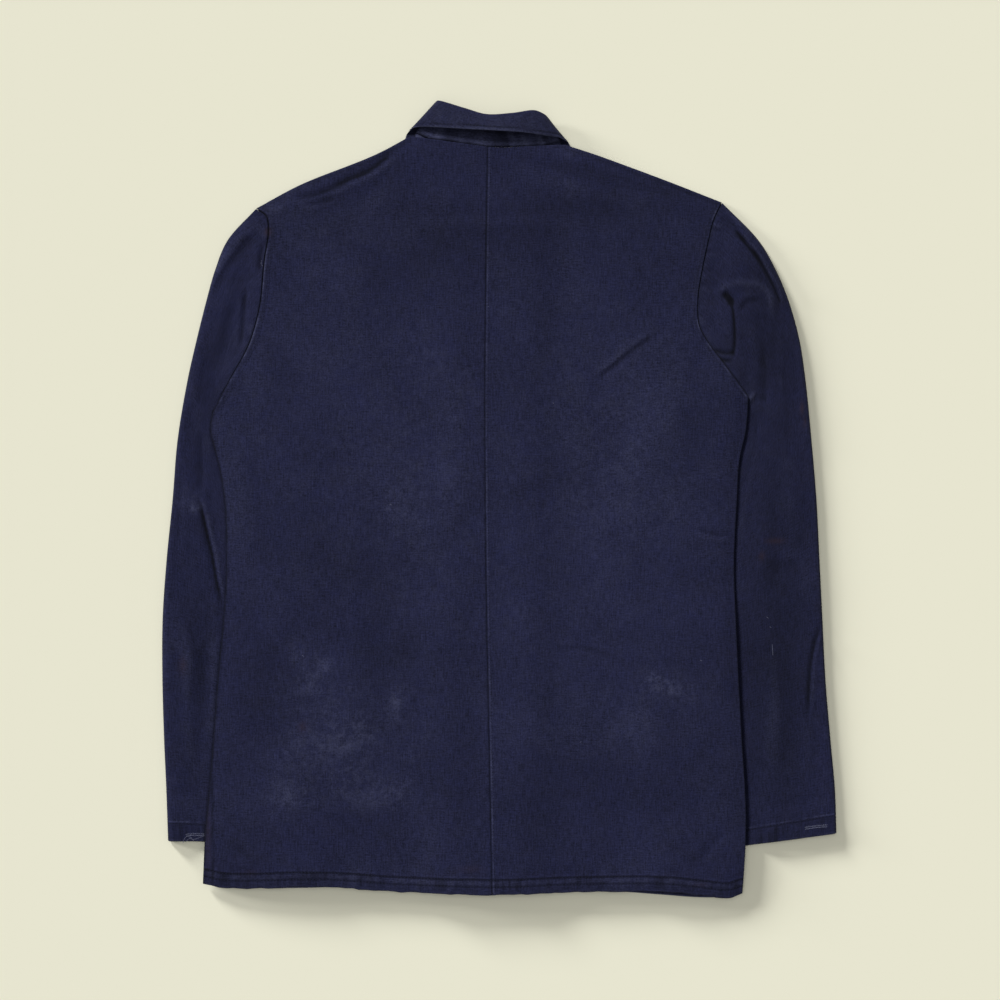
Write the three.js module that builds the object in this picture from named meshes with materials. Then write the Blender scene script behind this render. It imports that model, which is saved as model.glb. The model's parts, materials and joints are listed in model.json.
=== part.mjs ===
// A navy cotton chore jacket, buttoned up and laid face down on a flat surface, seen from the back.
// Millimetres. +X is the right of the jacket as it lies, +Y runs from hem to collar, +Z is up from the surface.
// The origin is on the surface, under the middle of the jacket. Every cloth piece is a thin wall, and the
// pieces lie on each other as they do on the surface: sleeves, pockets, fronts, back, and the collar round the neck.

import * as THREE from "three";
import { mergeVertices } from "three/addons/utils/BufferGeometryUtils.js";

// Driving dimensions
const cloth = 1.2; // wall of one layer of cloth, with its turned edges pressed in
const air = 0.4; // between two layers that lie on each other
const layer = cloth + air;
const seamGap = 0.3; // between two pieces where they are sewn together
const foldRadius = 1.1; // middle of the cloth, where a sleeve turns over at its edge
const bodyLoft = 2.4; // air that stays between the back and the fronts
const bodySpread = 0.7; // and the part of it that is there right beside the seams
const sleeveLoft = 2.6; // air that stays inside a sleeve, where the body doesn't press on it
const hemDepth = 17; // turned hem of the body, and of the sleeves
const cuffDepth = 19;
const hemStep = 2; // over which a hem comes down to one layer
const hemExtra = 0.7; // how much thicker a turned hem is
const sleeveStack = 2 * foldRadius + cloth + hemExtra + air; // what a flattened sleeve lifts the body by
const underlap = 20; // how far each front reaches past the centre front
const centreFront = -10;
const frontNeckY = 287; // centre front of the neckline
const hemY = -394.5; // of both edges of the fronts
const sideLength = 490; // from the hem to the armpit
const sleeveLength = 640; // from the shoulder point to the cuff
const button = { radius: 9, thick: 2.6, hole: 1, holeSpread: 1.9, count: 5, topY: 259, pitch: 131 };
const pocket = { inner: 65, width: 165, topY: -148, height: 205 }; // hip patch pockets, inner from the centre front
const clearOf = 20; // how far past a hidden layer the cloth over it stays lifted
const drape = 45; // and the run over which it comes down after that
const openSleeve = { from: 10, to: 34 }; // distance past the body over which a sleeve fills out

// Where each edge crosses a level, from hem to shoulder. Below the armpit, left and right are the side
// seams of the body. Above it they are the armholes. The outer columns are the outer folds of the sleeves.
const armpit = { left: { x: -286.5, y: 88 }, right: { x: 249, y: 103 } };
const shoulderPoint = { left: { x: -243.5, y: 292 }, right: { x: 222.5, y: 298 } };
const sideRows = [
  { y: -370, left: -296, right: 244.4 },
  { y: -340, left: -294.6, right: 246 },
  { y: -300, left: -291, right: 245.8 },
  { y: -240, left: -285.7, right: 242.2 },
  { y: -180, left: -281.3, right: 239 },
  { y: -120, left: -275.7, right: 236.3 },
  { y: -60, left: -272.5, right: 234.6 },
  { y: 0, left: -274.5, right: 237.4 },
  { y: 40, left: -281.5, right: 240 },
  { y: 70, left: -288.6, right: 246.5 },
];
const armholeRows = {
  left: [
    { y: 124, x: -267.5 },
    { y: 157, x: -250 },
    { y: 195, x: -239.5 },
    { y: 240, x: -235 },
    { y: 268, x: -231 },
    { y: 284, x: -233 },
  ],
  right: [
    { y: 132, x: 227.5 },
    { y: 172, x: 200.5 },
    { y: 194, x: 198 },
    { y: 213, x: 199.5 },
    { y: 260, x: 209 },
    { y: 281, x: 214.5 },
  ],
};
const frontArmholeScoop = 11; // how much deeper the front armhole is cut than the back one
const outerRows = [
  { y: 260, left: -272.5, right: 259.5 },
  { y: 230, left: -285, right: 277 },
  { y: 200, left: -293.5, right: 289.5 },
  { y: 160, left: -303.5, right: 300.5 },
  { y: 120, left: -312.5, right: 306.5 },
  { y: 60, left: -322.5, right: 312.5 },
  { y: 0, left: -327.5, right: 317.5 },
  { y: -60, left: -333.5, right: 320.5 },
  { y: -120, left: -337.5, right: 323.5 },
  { y: -180, left: -337.7, right: 326.5 },
  { y: -240, left: -336, right: 331.5 },
  { y: -290, left: -333.8, right: 336 },
];
const cuff = {
  left: { outer: { x: -332, y: -341.5 }, inner: { x: -193, y: -343.5 } },
  right: { outer: { x: 337.5, y: -333.7 }, inner: { x: 192.5, y: -353.5 } },
};
// The inner fold of each sleeve, tucked under the body.
const innerRows = {
  left: [
    { x: -262, y: 70 },
    { x: -225, y: 52 },
    { x: -190, y: 15 },
    { x: -172, y: -50 },
    { x: -173, y: -150 },
    { x: -182, y: -250 },
  ],
  right: [
    { x: 225, y: 84 },
    { x: 188, y: 60 },
    { x: 163, y: 12 },
    { x: 155.5, y: -50 },
    { x: 160.5, y: -150 },
    { x: 173.5, y: -250 },
  ],
};
const centreBack = [
  { y: hemY, x: -7.2 },
  { y: -250, x: -10 },
  { y: -100, x: -12.8 },
  { y: 50, x: -14.4 },
  { y: 200, x: -13.8 },
  { y: 353, x: -11.7 },
];
const hemRows = {
  left: [
    { x: -106.5, y: -391.5 },
    { x: -154.5, y: -388 },
    { x: -190.5, y: -386.5 },
    { x: -274.5, y: -388 },
    { x: -296.8, y: -384 },
  ],
  right: [
    { x: 85.5, y: -391.8 },
    { x: 169.5, y: -391.6 },
    { x: 198, y: -394.6 },
    { x: 230, y: -397.7 },
    { x: 243, y: -394 },
  ],
};
const neckPoint = { left: { x: -89.5, y: 364 }, right: { x: 65.5, y: 355.5 } };
const backNeckRows = { left: [{ x: -53.5, y: 359 }], right: [{ x: 3.5, y: 352.3 }, { x: 33.5, y: 354.2 }] };
const shoulderRows = {
  left: [{ x: -123.5, y: 346 }, { x: -198.5, y: 316 }],
  right: [{ x: 96.5, y: 345.5 }, { x: 162.5, y: 321.5 }],
};
const frontNeckRows = {
  left: [{ x: -78, y: 333 }, { x: -59, y: 309 }, { x: -35, y: 292 }],
  right: [{ x: 60, y: 333 }, { x: 45, y: 310 }, { x: 24, y: 293 }],
};

// Curves in the plan
const point = ({ x, y }) => new THREE.Vector3(x, y, 0);
const curve = (rows) => new THREE.CatmullRomCurve3(rows.map(point), false, "centripetal");

// One curve after another, the first from t 0 to the stop, the second from the stop to 1.
const chain = (first, second, stop) => (t) =>
  t < stop ? first.getPointAt(t / stop) : second.getPointAt((t - stop) / (1 - stop));

const side = {};
const armhole = {};
const frontArmhole = {};
const outer = {};
const inner = {};
const shoulder = {};
const backNeck = {};
const frontNeck = {};
const hem = {};
const seam = curve(centreBack);
for (const hand of ["left", "right"]) {
  const sign = hand === "left" ? -1 : 1;
  side[hand] = curve([hemRows[hand].at(-1), ...sideRows.map((row) => ({ x: row[hand], y: row.y })), armpit[hand]]);
  armhole[hand] = curve([armpit[hand], ...armholeRows[hand], shoulderPoint[hand]]);
  frontArmhole[hand] = curve([
    armpit[hand],
    ...armholeRows[hand].map(({ x, y }, i, rows) => ({
      x: x - sign * frontArmholeScoop * Math.sin((Math.PI * (i + 1)) / (rows.length + 1)),
      y,
    })),
    shoulderPoint[hand],
  ]);
  outer[hand] = curve([
    { x: shoulderPoint[hand].x + 1.5 * sign * seamGap, y: shoulderPoint[hand].y - seamGap },
    ...outerRows.map((row) => ({ x: row[hand], y: row.y })),
    cuff[hand].outer,
  ]);
  inner[hand] = curve([armpit[hand], ...innerRows[hand], cuff[hand].inner]);
  shoulder[hand] = curve([neckPoint[hand], ...shoulderRows[hand], shoulderPoint[hand]]);
  backNeck[hand] = curve([centreBack.at(-1), ...backNeckRows[hand], neckPoint[hand]]);
  const frontCorner = { x: centreFront - sign * underlap, y: frontNeckY };
  frontNeck[hand] = curve([neckPoint[hand], ...frontNeckRows[hand], frontCorner]);
  hem[hand] = curve([centreBack[0], ...hemRows[hand]]);
}

// Distance in the plan from a point to a line of points.
function distanceToLine(line, x, y) {
  let nearest = Infinity;
  for (let i = 1; i < line.length; i++) {
    const [a, b] = [line[i - 1], line[i]];
    const [dx, dy] = [b.x - a.x, b.y - a.y];
    const t = THREE.MathUtils.clamp(((x - a.x) * dx + (y - a.y) * dy) / (dx * dx + dy * dy || 1), 0, 1);
    nearest = Math.min(nearest, Math.hypot(x - a.x - t * dx, y - a.y - t * dy));
  }
  return nearest;
}

// The same to a closed outline, 0 inside it.
function distanceTo(outline, x, y) {
  const crossed = outline.filter((a, i) => {
    const b = outline[(i + 1) % outline.length];
    return a.y > y !== b.y > y && x < a.x + ((y - a.y) * (b.x - a.x)) / (b.y - a.y);
  });
  return crossed.length % 2 ? 0 : distanceToLine([...outline, outline[0]], x, y);
}

// 1 up to the plateau, then a smooth fall to 0 over the run.
const fall = (distance, plateau, run) => 1 - THREE.MathUtils.smoothstep(distance, plateau, plateau + run);

// What lies hidden under the body, as outlines in the plan.
const hiddenSleeve = {};
const pocketOutline = {};
const wingOutline = {
  left: [
    { x: -61, y: 392 },
    { x: -12, y: 318 },
    { x: -54, y: 245 },
    { x: -86, y: 292 },
    { x: -97, y: 352 },
  ],
  right: [
    { x: 47, y: 380 },
    { x: -8, y: 318 },
    { x: 34, y: 245 },
    { x: 66, y: 292 },
    { x: 76, y: 345 },
  ],
};
for (const hand of ["left", "right"]) {
  const sign = hand === "left" ? -1 : 1;
  hiddenSleeve[hand] = [
    ...inner[hand].getSpacedPoints(30),
    cuff[hand].outer,
    { x: cuff[hand].outer.x, y: armpit[hand].y },
  ];
  const [near, far] = [centreFront + sign * pocket.inner, centreFront + sign * (pocket.inner + pocket.width)];
  const bottomY = pocket.topY - pocket.height;
  pocketOutline[hand] = [
    { x: near, y: pocket.topY },
    { x: far, y: pocket.topY },
    { x: far, y: bottomY },
    { x: near, y: bottomY },
  ];
}

// Largest folds of the back and of the sleeves: a line in the plan, with how wide and deep each one is.
// A negative depth is a ridge.
const folds = [
  { piece: "back", from: [-104, 350], bend: [-140, 322], to: [-215, 300], width: 13, depth: 1.5 },
  { piece: "back", from: [15, 343], bend: [95, 322], to: [205, 301], width: 16, depth: 1.4 },
  { piece: "back", from: [-150, 262], bend: [-70, 258], to: [-15, 285], width: 34, depth: 0.8 },
  { piece: "back", from: [-215, 20], bend: [-130, -60], to: [-60, -170], width: 46, depth: 0.8 },
  { piece: "back", from: [60, -150], bend: [120, -165], to: [200, -210], width: 40, depth: 0.7 },
  { piece: "right", from: [229, 286], bend: [262, 242], to: [286, 150], width: 7, depth: 1.6 },
  { piece: "right", from: [229, 207], bend: [252, 214], to: [272, 206], width: 9, depth: -1.2 },
  { piece: "right", from: [231, 200], bend: [237, 170], to: [234, 140], width: 9, depth: 1.3 },
  { piece: "left", from: [-236, 276], bend: [-262, 248], to: [-284, 190], width: 9, depth: 1.4 },
  { piece: "left", from: [-296, -18], bend: [-286, -62], to: [-277, -112], width: 8, depth: 1.2 },
];

// How far the folds of one piece push its surface down at a point.
function foldDepth(piece, x, y) {
  const steps = 12;
  let depth = 0;
  for (const fold of folds.filter((f) => f.piece === piece)) {
    let best = { d: Infinity, t: 0 };
    for (let i = 0; i <= steps; i++) {
      const t = i / steps;
      const [a, b, c] = [(1 - t) ** 2, 2 * t * (1 - t), t ** 2];
      const d = Math.hypot(
        a * fold.from[0] + b * fold.bend[0] + c * fold.to[0] - x,
        a * fold.from[1] + b * fold.bend[1] + c * fold.to[1] - y,
      );
      if (d < best.d) best = { d, t };
    }
    depth += fold.depth * Math.exp(-((best.d / fold.width) ** 2)) * Math.sin(Math.PI * (0.1 + 0.8 * best.t));
  }
  return depth;
}

// Heights of the middle of each layer
function underBody(x, y) {
  const near = Math.min(distanceTo(hiddenSleeve.left, x, y), distanceTo(hiddenSleeve.right, x, y));
  return sleeveStack * fall(near, clearOf, drape);
}

// The band of cloth over the buttons, and the one where the fronts overlap, from the hem to the neckline.
const overButtons = (x, y) =>
  (button.thick + air) * fall(Math.abs(x - centreFront), 26, 46) * fall(y - frontNeckY, -15, 15);
const belowNeck = (y) => fall(y - frontNeckY, 0, drape);

function frontHeight(hand, x, y) {
  const pocketNear = Math.min(distanceTo(pocketOutline.left, x, y), distanceTo(pocketOutline.right, x, y));
  const wingNear = Math.min(distanceTo(wingOutline.left, x, y), distanceTo(wingOutline.right, x, y));
  const leftFrontEdge = centreFront + underlap;
  const overlap = hand === "right" ? (layer + 2 * air) * fall(x - leftFrontEdge, clearOf, drape) * belowNeck(y) : 0;
  const hidden = (layer + air) * fall(pocketNear, clearOf, drape) + layer * fall(wingNear, clearOf, drape);
  return cloth / 2 + underBody(x, y) + overButtons(x, y) + hidden + overlap;
}

const sewnEdges = ["left", "right"].flatMap((hand) => [
  side[hand].getSpacedPoints(24),
  shoulder[hand].getSpacedPoints(8),
]);

// The back comes down on the fronts at the side and shoulder seams.
function backHeight(x, y) {
  const far = Math.min(...sewnEdges.map((edge) => distanceToLine(edge, x, y)));
  const overlap = (layer + 2 * air) * fall(Math.abs(x - centreFront), underlap + clearOf, drape) * belowNeck(y);
  const spread = bodySpread * THREE.MathUtils.smoothstep(far, 0, clearOf);
  const room = spread + bodyLoft * THREE.MathUtils.smoothstep(far, 0, 2 * drape);
  const fold = Math.min(foldDepth("back", x, y), 0.7 * room);
  return frontHeight("left", x, y) + overlap + cloth + seamGap + room - fold;
}

// The outline of the back, and the top of a sleeve, which lies flat under it and fills out beside it.
const bodyOutline = [
  ...side.left.getSpacedPoints(24).reverse(),
  ...side.right.getSpacedPoints(24),
  ...armhole.right.getSpacedPoints(20),
  ...armhole.left.getSpacedPoints(20).reverse(),
];

function sleeveTop(hand, x, y) {
  const rest = cloth / 2 + 2 * foldRadius;
  const free = THREE.MathUtils.smoothstep(distanceTo(bodyOutline, x, y), openSleeve.from, openSleeve.to);
  return rest + free * (sleeveLoft - foldDepth(hand, x, y));
}

// Walls: a grid of rows, each point with its place and the direction that faces out.
function wall(rows, { ring = false, extra = () => 0 } = {}) {
  const across = rows[0].length;
  const thickness = { 1: (v, out) => cloth / 2 + extra(v, out), [-1]: () => -cloth / 2 };
  const raised = ({ place, out }, face, v) => place.clone().addScaledVector(out, thickness[face](v, out));
  const skins = [1, -1].map((face) => rows.flatMap((row, v) => row.map((corner) => raised(corner, face, v))));
  const corners = skins.flat();
  const faces = [];
  const id = (skin, v, u) => skin * skins[0].length + v * across + (u % across);
  // Two triangles, split along the shorter diagonal of the middle of the wall.
  const quad = (a, b, c, d) => {
    const [p, q, r, t] = [a, b, c, d].map((i) => rows[Math.floor((i % skins[0].length) / across)][i % across].place);
    if (p.distanceTo(r) < q.distanceTo(t) + 1e-6) faces.push(a, b, c, a, c, d);
    else faces.push(b, c, d, b, d, a);
  };
  const columns = ring ? across : across - 1;
  const last = rows.length - 1;
  for (let u = 0; u < columns; u++) {
    for (let v = 0; v < last; v++) {
      quad(id(0, v, u), id(0, v, u + 1), id(0, v + 1, u + 1), id(0, v + 1, u));
      quad(id(1, v, u), id(1, v + 1, u), id(1, v + 1, u + 1), id(1, v, u + 1));
    }
    quad(id(0, 0, u + 1), id(0, 0, u), id(1, 0, u), id(1, 0, u + 1));
    quad(id(0, last, u), id(0, last, u + 1), id(1, last, u + 1), id(1, last, u));
  }
  if (!ring) {
    for (let v = 0; v < last; v++) {
      quad(id(0, v, 0), id(0, v + 1, 0), id(1, v + 1, 0), id(1, v, 0));
      quad(id(0, v + 1, across - 1), id(0, v, across - 1), id(1, v, across - 1), id(1, v + 1, across - 1));
    }
  }
  return closedGeometry(corners, faces);
}

// A closed surface from corners and triangles, turned so that its faces point out.
function closedGeometry(corners, faces) {
  let volume = 0;
  for (let i = 0; i < faces.length; i += 3) {
    const [a, b, c] = [corners[faces[i]], corners[faces[i + 1]], corners[faces[i + 2]]];
    volume += a.dot(b.clone().cross(c)) / 6;
  }
  const turned = volume < 0 ? faces.flatMap((_, i) => (i % 3 ? [] : [faces[i], faces[i + 2], faces[i + 1]])) : faces;
  const geometry = new THREE.BufferGeometry().setFromPoints(corners).setIndex(turned);
  geometry.computeVertexNormals();
  return geometry;
}

// A patch of cloth between four edges in the plan. share is how much a point follows the second edge.
const patch = (bottom, top, first, second, share = (u) => u) => (u, v) => {
  const s = share(u, v);
  const sum = bottom(u).multiplyScalar(1 - v).addScaledVector(top(u), v);
  sum.addScaledVector(first(v), 1 - s).addScaledVector(second(v), s);
  sum.addScaledVector(bottom(0), -(1 - s) * (1 - v)).addScaledVector(bottom(1), -s * (1 - v));
  return sum.addScaledVector(top(0), -(1 - s) * v).addScaledVector(top(1), -s * v);
};

const up = new THREE.Vector3(0, 0, 1);
const even = (count, from = 0, to = 1) =>
  Array.from({ length: count + 1 }, (_, i) => from + ((to - from) * i) / count);

// Rows of a body panel: the hem, the side up to the armpit, and the armhole up to the shoulder point.
const armpitStop = 0.64;
const armholeStops = [0.05, 0.16, 0.28, 0.4, 0.52, 0.64, 0.76, 0.87, 0.94, 1];
const sideStops = [0, hemDepth / sideLength, (hemDepth + hemStep) / sideLength, ...even(12, 0.09, 1)];
const panelRows = [
  ...sideStops.map((t) => t * armpitStop),
  ...armholeStops.map((t) => armpitStop + t * (1 - armpitStop)),
];
const neckStop = 0.34;
const neckSteps = 4;
const panelColumns = [...even(neckSteps, 0, neckStop).slice(0, -1), ...even(8, neckStop, 1)];

function panel(kind, hand) {
  const back = kind === "back";
  const sign = hand === "left" ? -1 : 1;
  const edge = chain(side[hand], (back ? armhole : frontArmhole)[hand], armpitStop);
  const sideways = (x) => new THREE.Vector3(x, 0, 0);
  const frontEdgeX = centreFront - sign * underlap;
  const frontEdge = (v) => new THREE.Vector3(frontEdgeX, THREE.MathUtils.lerp(hemY, frontNeckY, v), 0);
  const backEdge = (v) => seam.getPointAt(v).add(sideways((sign * seamGap) / 2));
  const hemEdge = (u) => {
    const at = hem[hand].getPointAt(u);
    return at.add(sideways((1 - u) * (back ? (sign * seamGap) / 2 : frontEdge(0).x - at.x)));
  };
  const top = (u) => {
    const neck = u / neckStop;
    if (neck >= 1) return shoulder[hand].getPointAt((u - neckStop) / (1 - neckStop));
    if (back) return backNeck[hand].getPointAt(neck).add(sideways(((1 - neck) * sign * seamGap) / 2));
    return frontNeck[hand].getPointAt(1 - neck);
  };
  const at = patch(hemEdge, top, back ? backEdge : frontEdge, edge, (u) => u ** 2.5);
  return panelRows.map((v) =>
    panelColumns.map((u) => {
      const place = at(u, v);
      place.z = back ? backHeight(place.x, place.y) : frontHeight(hand, place.x, place.y);
      return { place, out: up };
    }),
  );
}

// The part of a line of points between two levels of x or y, with its ends cut exactly at them.
function cut(line, axis, from, to, guide) {
  const at = (level) => {
    const i = line.findIndex((p, k) => k > 0 && (p[axis] - level) * (line[k - 1][axis] - level) <= 0);
    return line[i - 1].clone().lerp(line[i], (level - line[i - 1][axis]) / (line[i][axis] - line[i - 1][axis]));
  };
  const [low, high] = [Math.min(from, to) + 2, Math.max(from, to) - 2];
  const inside = line.filter((_, k) => guide[k][axis] > low && guide[k][axis] < high);
  const between = (p) => p[axis] > low && p[axis] < high;
  const kept = inside.map((p) => (between(p) ? p : at(THREE.MathUtils.clamp(p[axis], low, high))));
  return [at(from), ...kept, at(to)];
}

const transposed = (grid) => grid[0].map((_, i) => grid.map((line) => line[i]));

// A hip pocket is made from the points of its front, one layer further out.
function pocketOn(rows, hand) {
  const [near, far] = [pocketOutline[hand][0], pocketOutline[hand][2]];
  const below = rows.map((row) => row.map(({ place }) => place)).filter((row) => row[0].y < armpit[hand].y - 100);
  const middleRow = below[below.length >> 1];
  const strip = transposed(below.map((row) => cut(row, "x", near.x, far.x, middleRow)));
  const piece = transposed(strip.map((column) => cut(column, "y", far.y, near.y, strip[0])));
  return piece.map((row) => row.map((place) => ({ place: place.clone().setZ(place.z - layer - air), out: up })));
}

// A sleeve is a flattened tube: across the top, round its inner fold, back underneath, and round its outer fold.
function sleeve(hand) {
  const sign = hand === "left" ? -1 : 1;
  const turn = 3; // steps round each fold
  const stops = [0, ...armholeStops];
  const pushed = (rows) => (t) => {
    const tangent = rows.getTangentAt(t);
    return rows.getPointAt(t).add(new THREE.Vector3(tangent.y, -tangent.x, 0).multiplyScalar(sign * seamGap));
  };
  const end = (u) => point(cuff[hand].outer).lerp(point(cuff[hand].inner), u);
  const outerEdge = (v) => outer[hand].getPointAt(v);
  const innerEdge = (v) => inner[hand].getPointAt(v);
  const patches = [armhole, frontArmhole].map((hole) => {
    const start = pushed(hole[hand]);
    return patch((u) => start(1 - u), end, outerEdge, innerEdge, (u, v) => u ** (1 + 25 * (1 - v) ** 6));
  });
  const inset = foldRadius + cloth / 2;
  const hemTop = 1 - (cuffDepth + hemStep) / sleeveLength;
  const levels = [...even(15).map((t) => hemTop * t ** 1.35), 1 - cuffDepth / sleeveLength, 1];
  return levels.map((v) => {
    const section = [];
    const across = patches.map((at) => stops.map((t) => at(1 - t, v)).reverse());
    const [top, under] = across;
    const ends = [top[0].clone().sub(top[1]), top.at(-1).clone().sub(top.at(-2))].map((d) => d.setZ(0).normalize());
    const trim = (line) => {
      const moved = line.map((p) => p.clone());
      moved[0].addScaledVector(ends[0], -inset);
      moved[moved.length - 1].addScaledVector(ends[1], -inset);
      return moved;
    };
    for (const p of trim(top)) section.push({ place: p.clone().setZ(sleeveTop(hand, p.x, p.y)), out: up });
    const arc = (centre, direction, from) => {
      for (let i = 1; i < turn + 1; i++) {
        const angle = from * (Math.PI / 2 - (Math.PI * i) / (turn + 1));
        const out = direction.clone().multiplyScalar(Math.cos(angle)).addScaledVector(up, Math.sin(angle));
        const place = centre.clone().setZ(cloth / 2 + foldRadius).addScaledVector(out, foldRadius);
        section.push({ place, out });
      }
    };
    const down = up.clone().negate();
    arc(trim(top).at(-1), ends[1], 1);
    for (const p of trim(under).reverse()) section.push({ place: p.clone().setZ(cloth / 2), out: down });
    arc(trim(top)[0], ends[0], -1);
    return section;
  });
}

// The collar is one folded band: it stands up from the neck seam, turns over at its fold, and its leaf
// comes back over it. Each row is a section, from the centre front on the left, round the neck, to the one
// on the right. front and back say how far along that neckline it is sewn, below 0 on the left, and seam is
// a place beside the shoulder seam. turn is the way from the stand to the leaf: 90 is up, 0 is out to the
// side, -90 is down.
const collarRows = [
  { front: -0.84, fold: [-13, 315, 1.4], edge: [-54, 246, 0.6], turn: -90, roll: 0.8 },
  { front: -0.75, fold: [-24, 322, 1.4], edge: [-66, 260, 0.6], turn: -90, roll: 0.8 },
  { front: -0.5, fold: [-41, 342, 1.4], edge: [-84, 290, 0.6], turn: -90, roll: 0.8 },
  { front: -0.25, fold: [-53, 367, 1.4], edge: [-93, 318, 0.6], turn: -90, roll: 0.8 },
  { front: -0.09, fold: [-60, 390, 1.7], edge: [-96, 350, 0.6], turn: -90, roll: 1 },
  { seam: [-85, 366, 2.1], fold: [-62, 394.8, 2.6], edge: [-93.5, 365, 0.9], turn: -55, roll: 1.2 },
  { seam: [-84.4, 367.3, 3.3], fold: [-61.6, 396, 4.2], edge: [-91, 368.2, 3.8], turn: 0, roll: 1.4 },
  { seam: [-82, 367.2, 4.6], fold: [-59, 395.6, 6.2], edge: [-86, 371.8, 8.2], turn: 55, roll: 1.8 },
  { back: -0.75, fold: [-52, 394.5, 8], edge: [-76, 373.4, 11], turn: 90, roll: 2 },
  { back: -0.5, fold: [-36, 389, 9.5], edge: [-48, 372.2, 17], turn: 90, roll: 2.3 },
  { back: 0, fold: [-13, 382.5, 10.5], edge: [-8, 370.4, 21], turn: 90, roll: 2.4 },
  { back: 0.5, fold: [14, 384, 10], edge: [24, 368.6, 18], turn: 90, roll: 2.3 },
  { back: 0.75, fold: [36, 387, 8.5], edge: [48, 364.4, 12], turn: 90, roll: 2 },
  { seam: [58.2, 358.6, 4.6], fold: [44, 384, 6.4], edge: [60, 362, 8.6], turn: 55, roll: 1.8 },
  { seam: [61.2, 359, 3.3], fold: [46.6, 381.4, 4.2], edge: [67.3, 358.8, 3.8], turn: 0, roll: 1.4 },
  { seam: [61.8, 357.8, 2.1], fold: [46.5, 378, 2.6], edge: [69.8, 356.8, 0.9], turn: -55, roll: 1.2 },
  { front: 0.09, fold: [45, 372, 1.7], edge: [74, 342, 0.6], turn: -90, roll: 1 },
  { front: 0.25, fold: [37, 354, 1.4], edge: [74, 316, 0.6], turn: -90, roll: 0.8 },
  { front: 0.5, fold: [23, 336, 1.4], edge: [64, 290, 0.6], turn: -90, roll: 0.8 },
  { front: 0.75, fold: [5, 320, 1.4], edge: [46, 260, 0.6], turn: -90, roll: 0.8 },
  { front: 0.84, fold: [-6, 315, 1.4], edge: [34, 246, 0.6], turn: -90, roll: 0.8 },
];

// A place beside a neckline, at the height of the cloth there. The panels have neckSteps edges on it.
function besideNeck(kind, signedShare) {
  const hand = signedShare < 0 ? "left" : "right";
  const line = (kind === "back" ? backNeck : frontNeck)[hand];
  const along = Math.abs(signedShare) * neckSteps;
  const step = Math.min(Math.floor(along), neckSteps - 1);
  const [a, b] = [line.getPointAt(step / neckSteps), line.getPointAt((step + 1) / neckSteps)];
  const place = a.clone().lerp(b, along - step);
  const tangent = b.sub(a).normalize();
  const inwards = new THREE.Vector3(-tangent.y, tangent.x, 0).multiplyScalar(tangent.x < 0 ? -1 : 1);
  place.addScaledVector(inwards, 2 * seamGap);
  return place.setZ(kind === "back" ? backHeight(place.x, place.y) : frontHeight(hand, place.x, place.y));
}

// Where the collar is sewn on, at a row or between two of them.
function collarSeam(row, next, share) {
  const kind = ["front", "back"].find((key) => row[key] !== undefined && next[key] !== undefined);
  if (kind) return besideNeck(kind, THREE.MathUtils.lerp(row[kind], next[kind], share));
  const [a, b] = [row, next].map((r) => (r.seam ? new THREE.Vector3(...r.seam) : collarSeam(r, r, 0)));
  return a.lerp(b, share);
}

function collar() {
  const between = 1; // sections added between two rows
  const rail = (places) => new THREE.CatmullRomCurve3(places, false, "centripetal");
  const rails = {
    fold: rail(collarRows.map((row) => new THREE.Vector3(...row.fold))),
    edge: rail(collarRows.map((row) => new THREE.Vector3(...row.edge))),
  };
  const count = (collarRows.length - 1) * (between + 1);
  const middles = even(count).map((t) => {
    const low = Math.min(Math.floor(t * (collarRows.length - 1)), collarRows.length - 2);
    const share = t * (collarRows.length - 1) - low;
    const mix = (key) => THREE.MathUtils.lerp(collarRows[low][key], collarRows[low + 1][key], share);
    const [f, e] = [rails.fold.getPoint(t), rails.edge.getPoint(t)];
    const s = collarSeam(collarRows[low], collarRows[low + 1], share);
    const turn = THREE.MathUtils.degToRad(mix("turn"));
    const roll = mix("roll");
    const away = f.clone().sub(s.clone().add(e).multiplyScalar(0.5)).normalize();
    const outwards = new THREE.Vector3(away.y, -away.x, 0).normalize().multiplyScalar(t < 0.5 ? -1 : 1);
    const toLeaf = up.clone().multiplyScalar(Math.sin(turn)).addScaledVector(outwards, Math.cos(turn));
    const profile = [s.clone()];
    const standTop = f.clone().addScaledVector(toLeaf, -roll);
    const leafTop = f.clone().addScaledVector(toLeaf, roll);
    profile.push(s.clone().lerp(standTop, 0.5), standTop);
    for (const angle of [-Math.PI / 3, 0, Math.PI / 3]) {
      profile.push(
        f.clone().addScaledVector(toLeaf, roll * Math.sin(angle)).addScaledVector(away, roll * Math.cos(angle)),
      );
    }
    profile.push(leafTop, leafTop.clone().lerp(e, 0.5), e.clone());
    profile.forEach((place) => place.setZ(Math.max(place.z, cloth / 2)));
    return profile;
  });
  return middles.map((profile, v) =>
    profile.map((place, u) => {
      const along = middles[Math.min(v + 1, count)][u].clone().sub(middles[Math.max(v - 1, 0)][u]);
      const over = profile[Math.min(u + 1, profile.length - 1)].clone().sub(profile[Math.max(u - 1, 0)]);
      return { place, out: over.cross(along).normalize() };
    }),
  );
}

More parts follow.
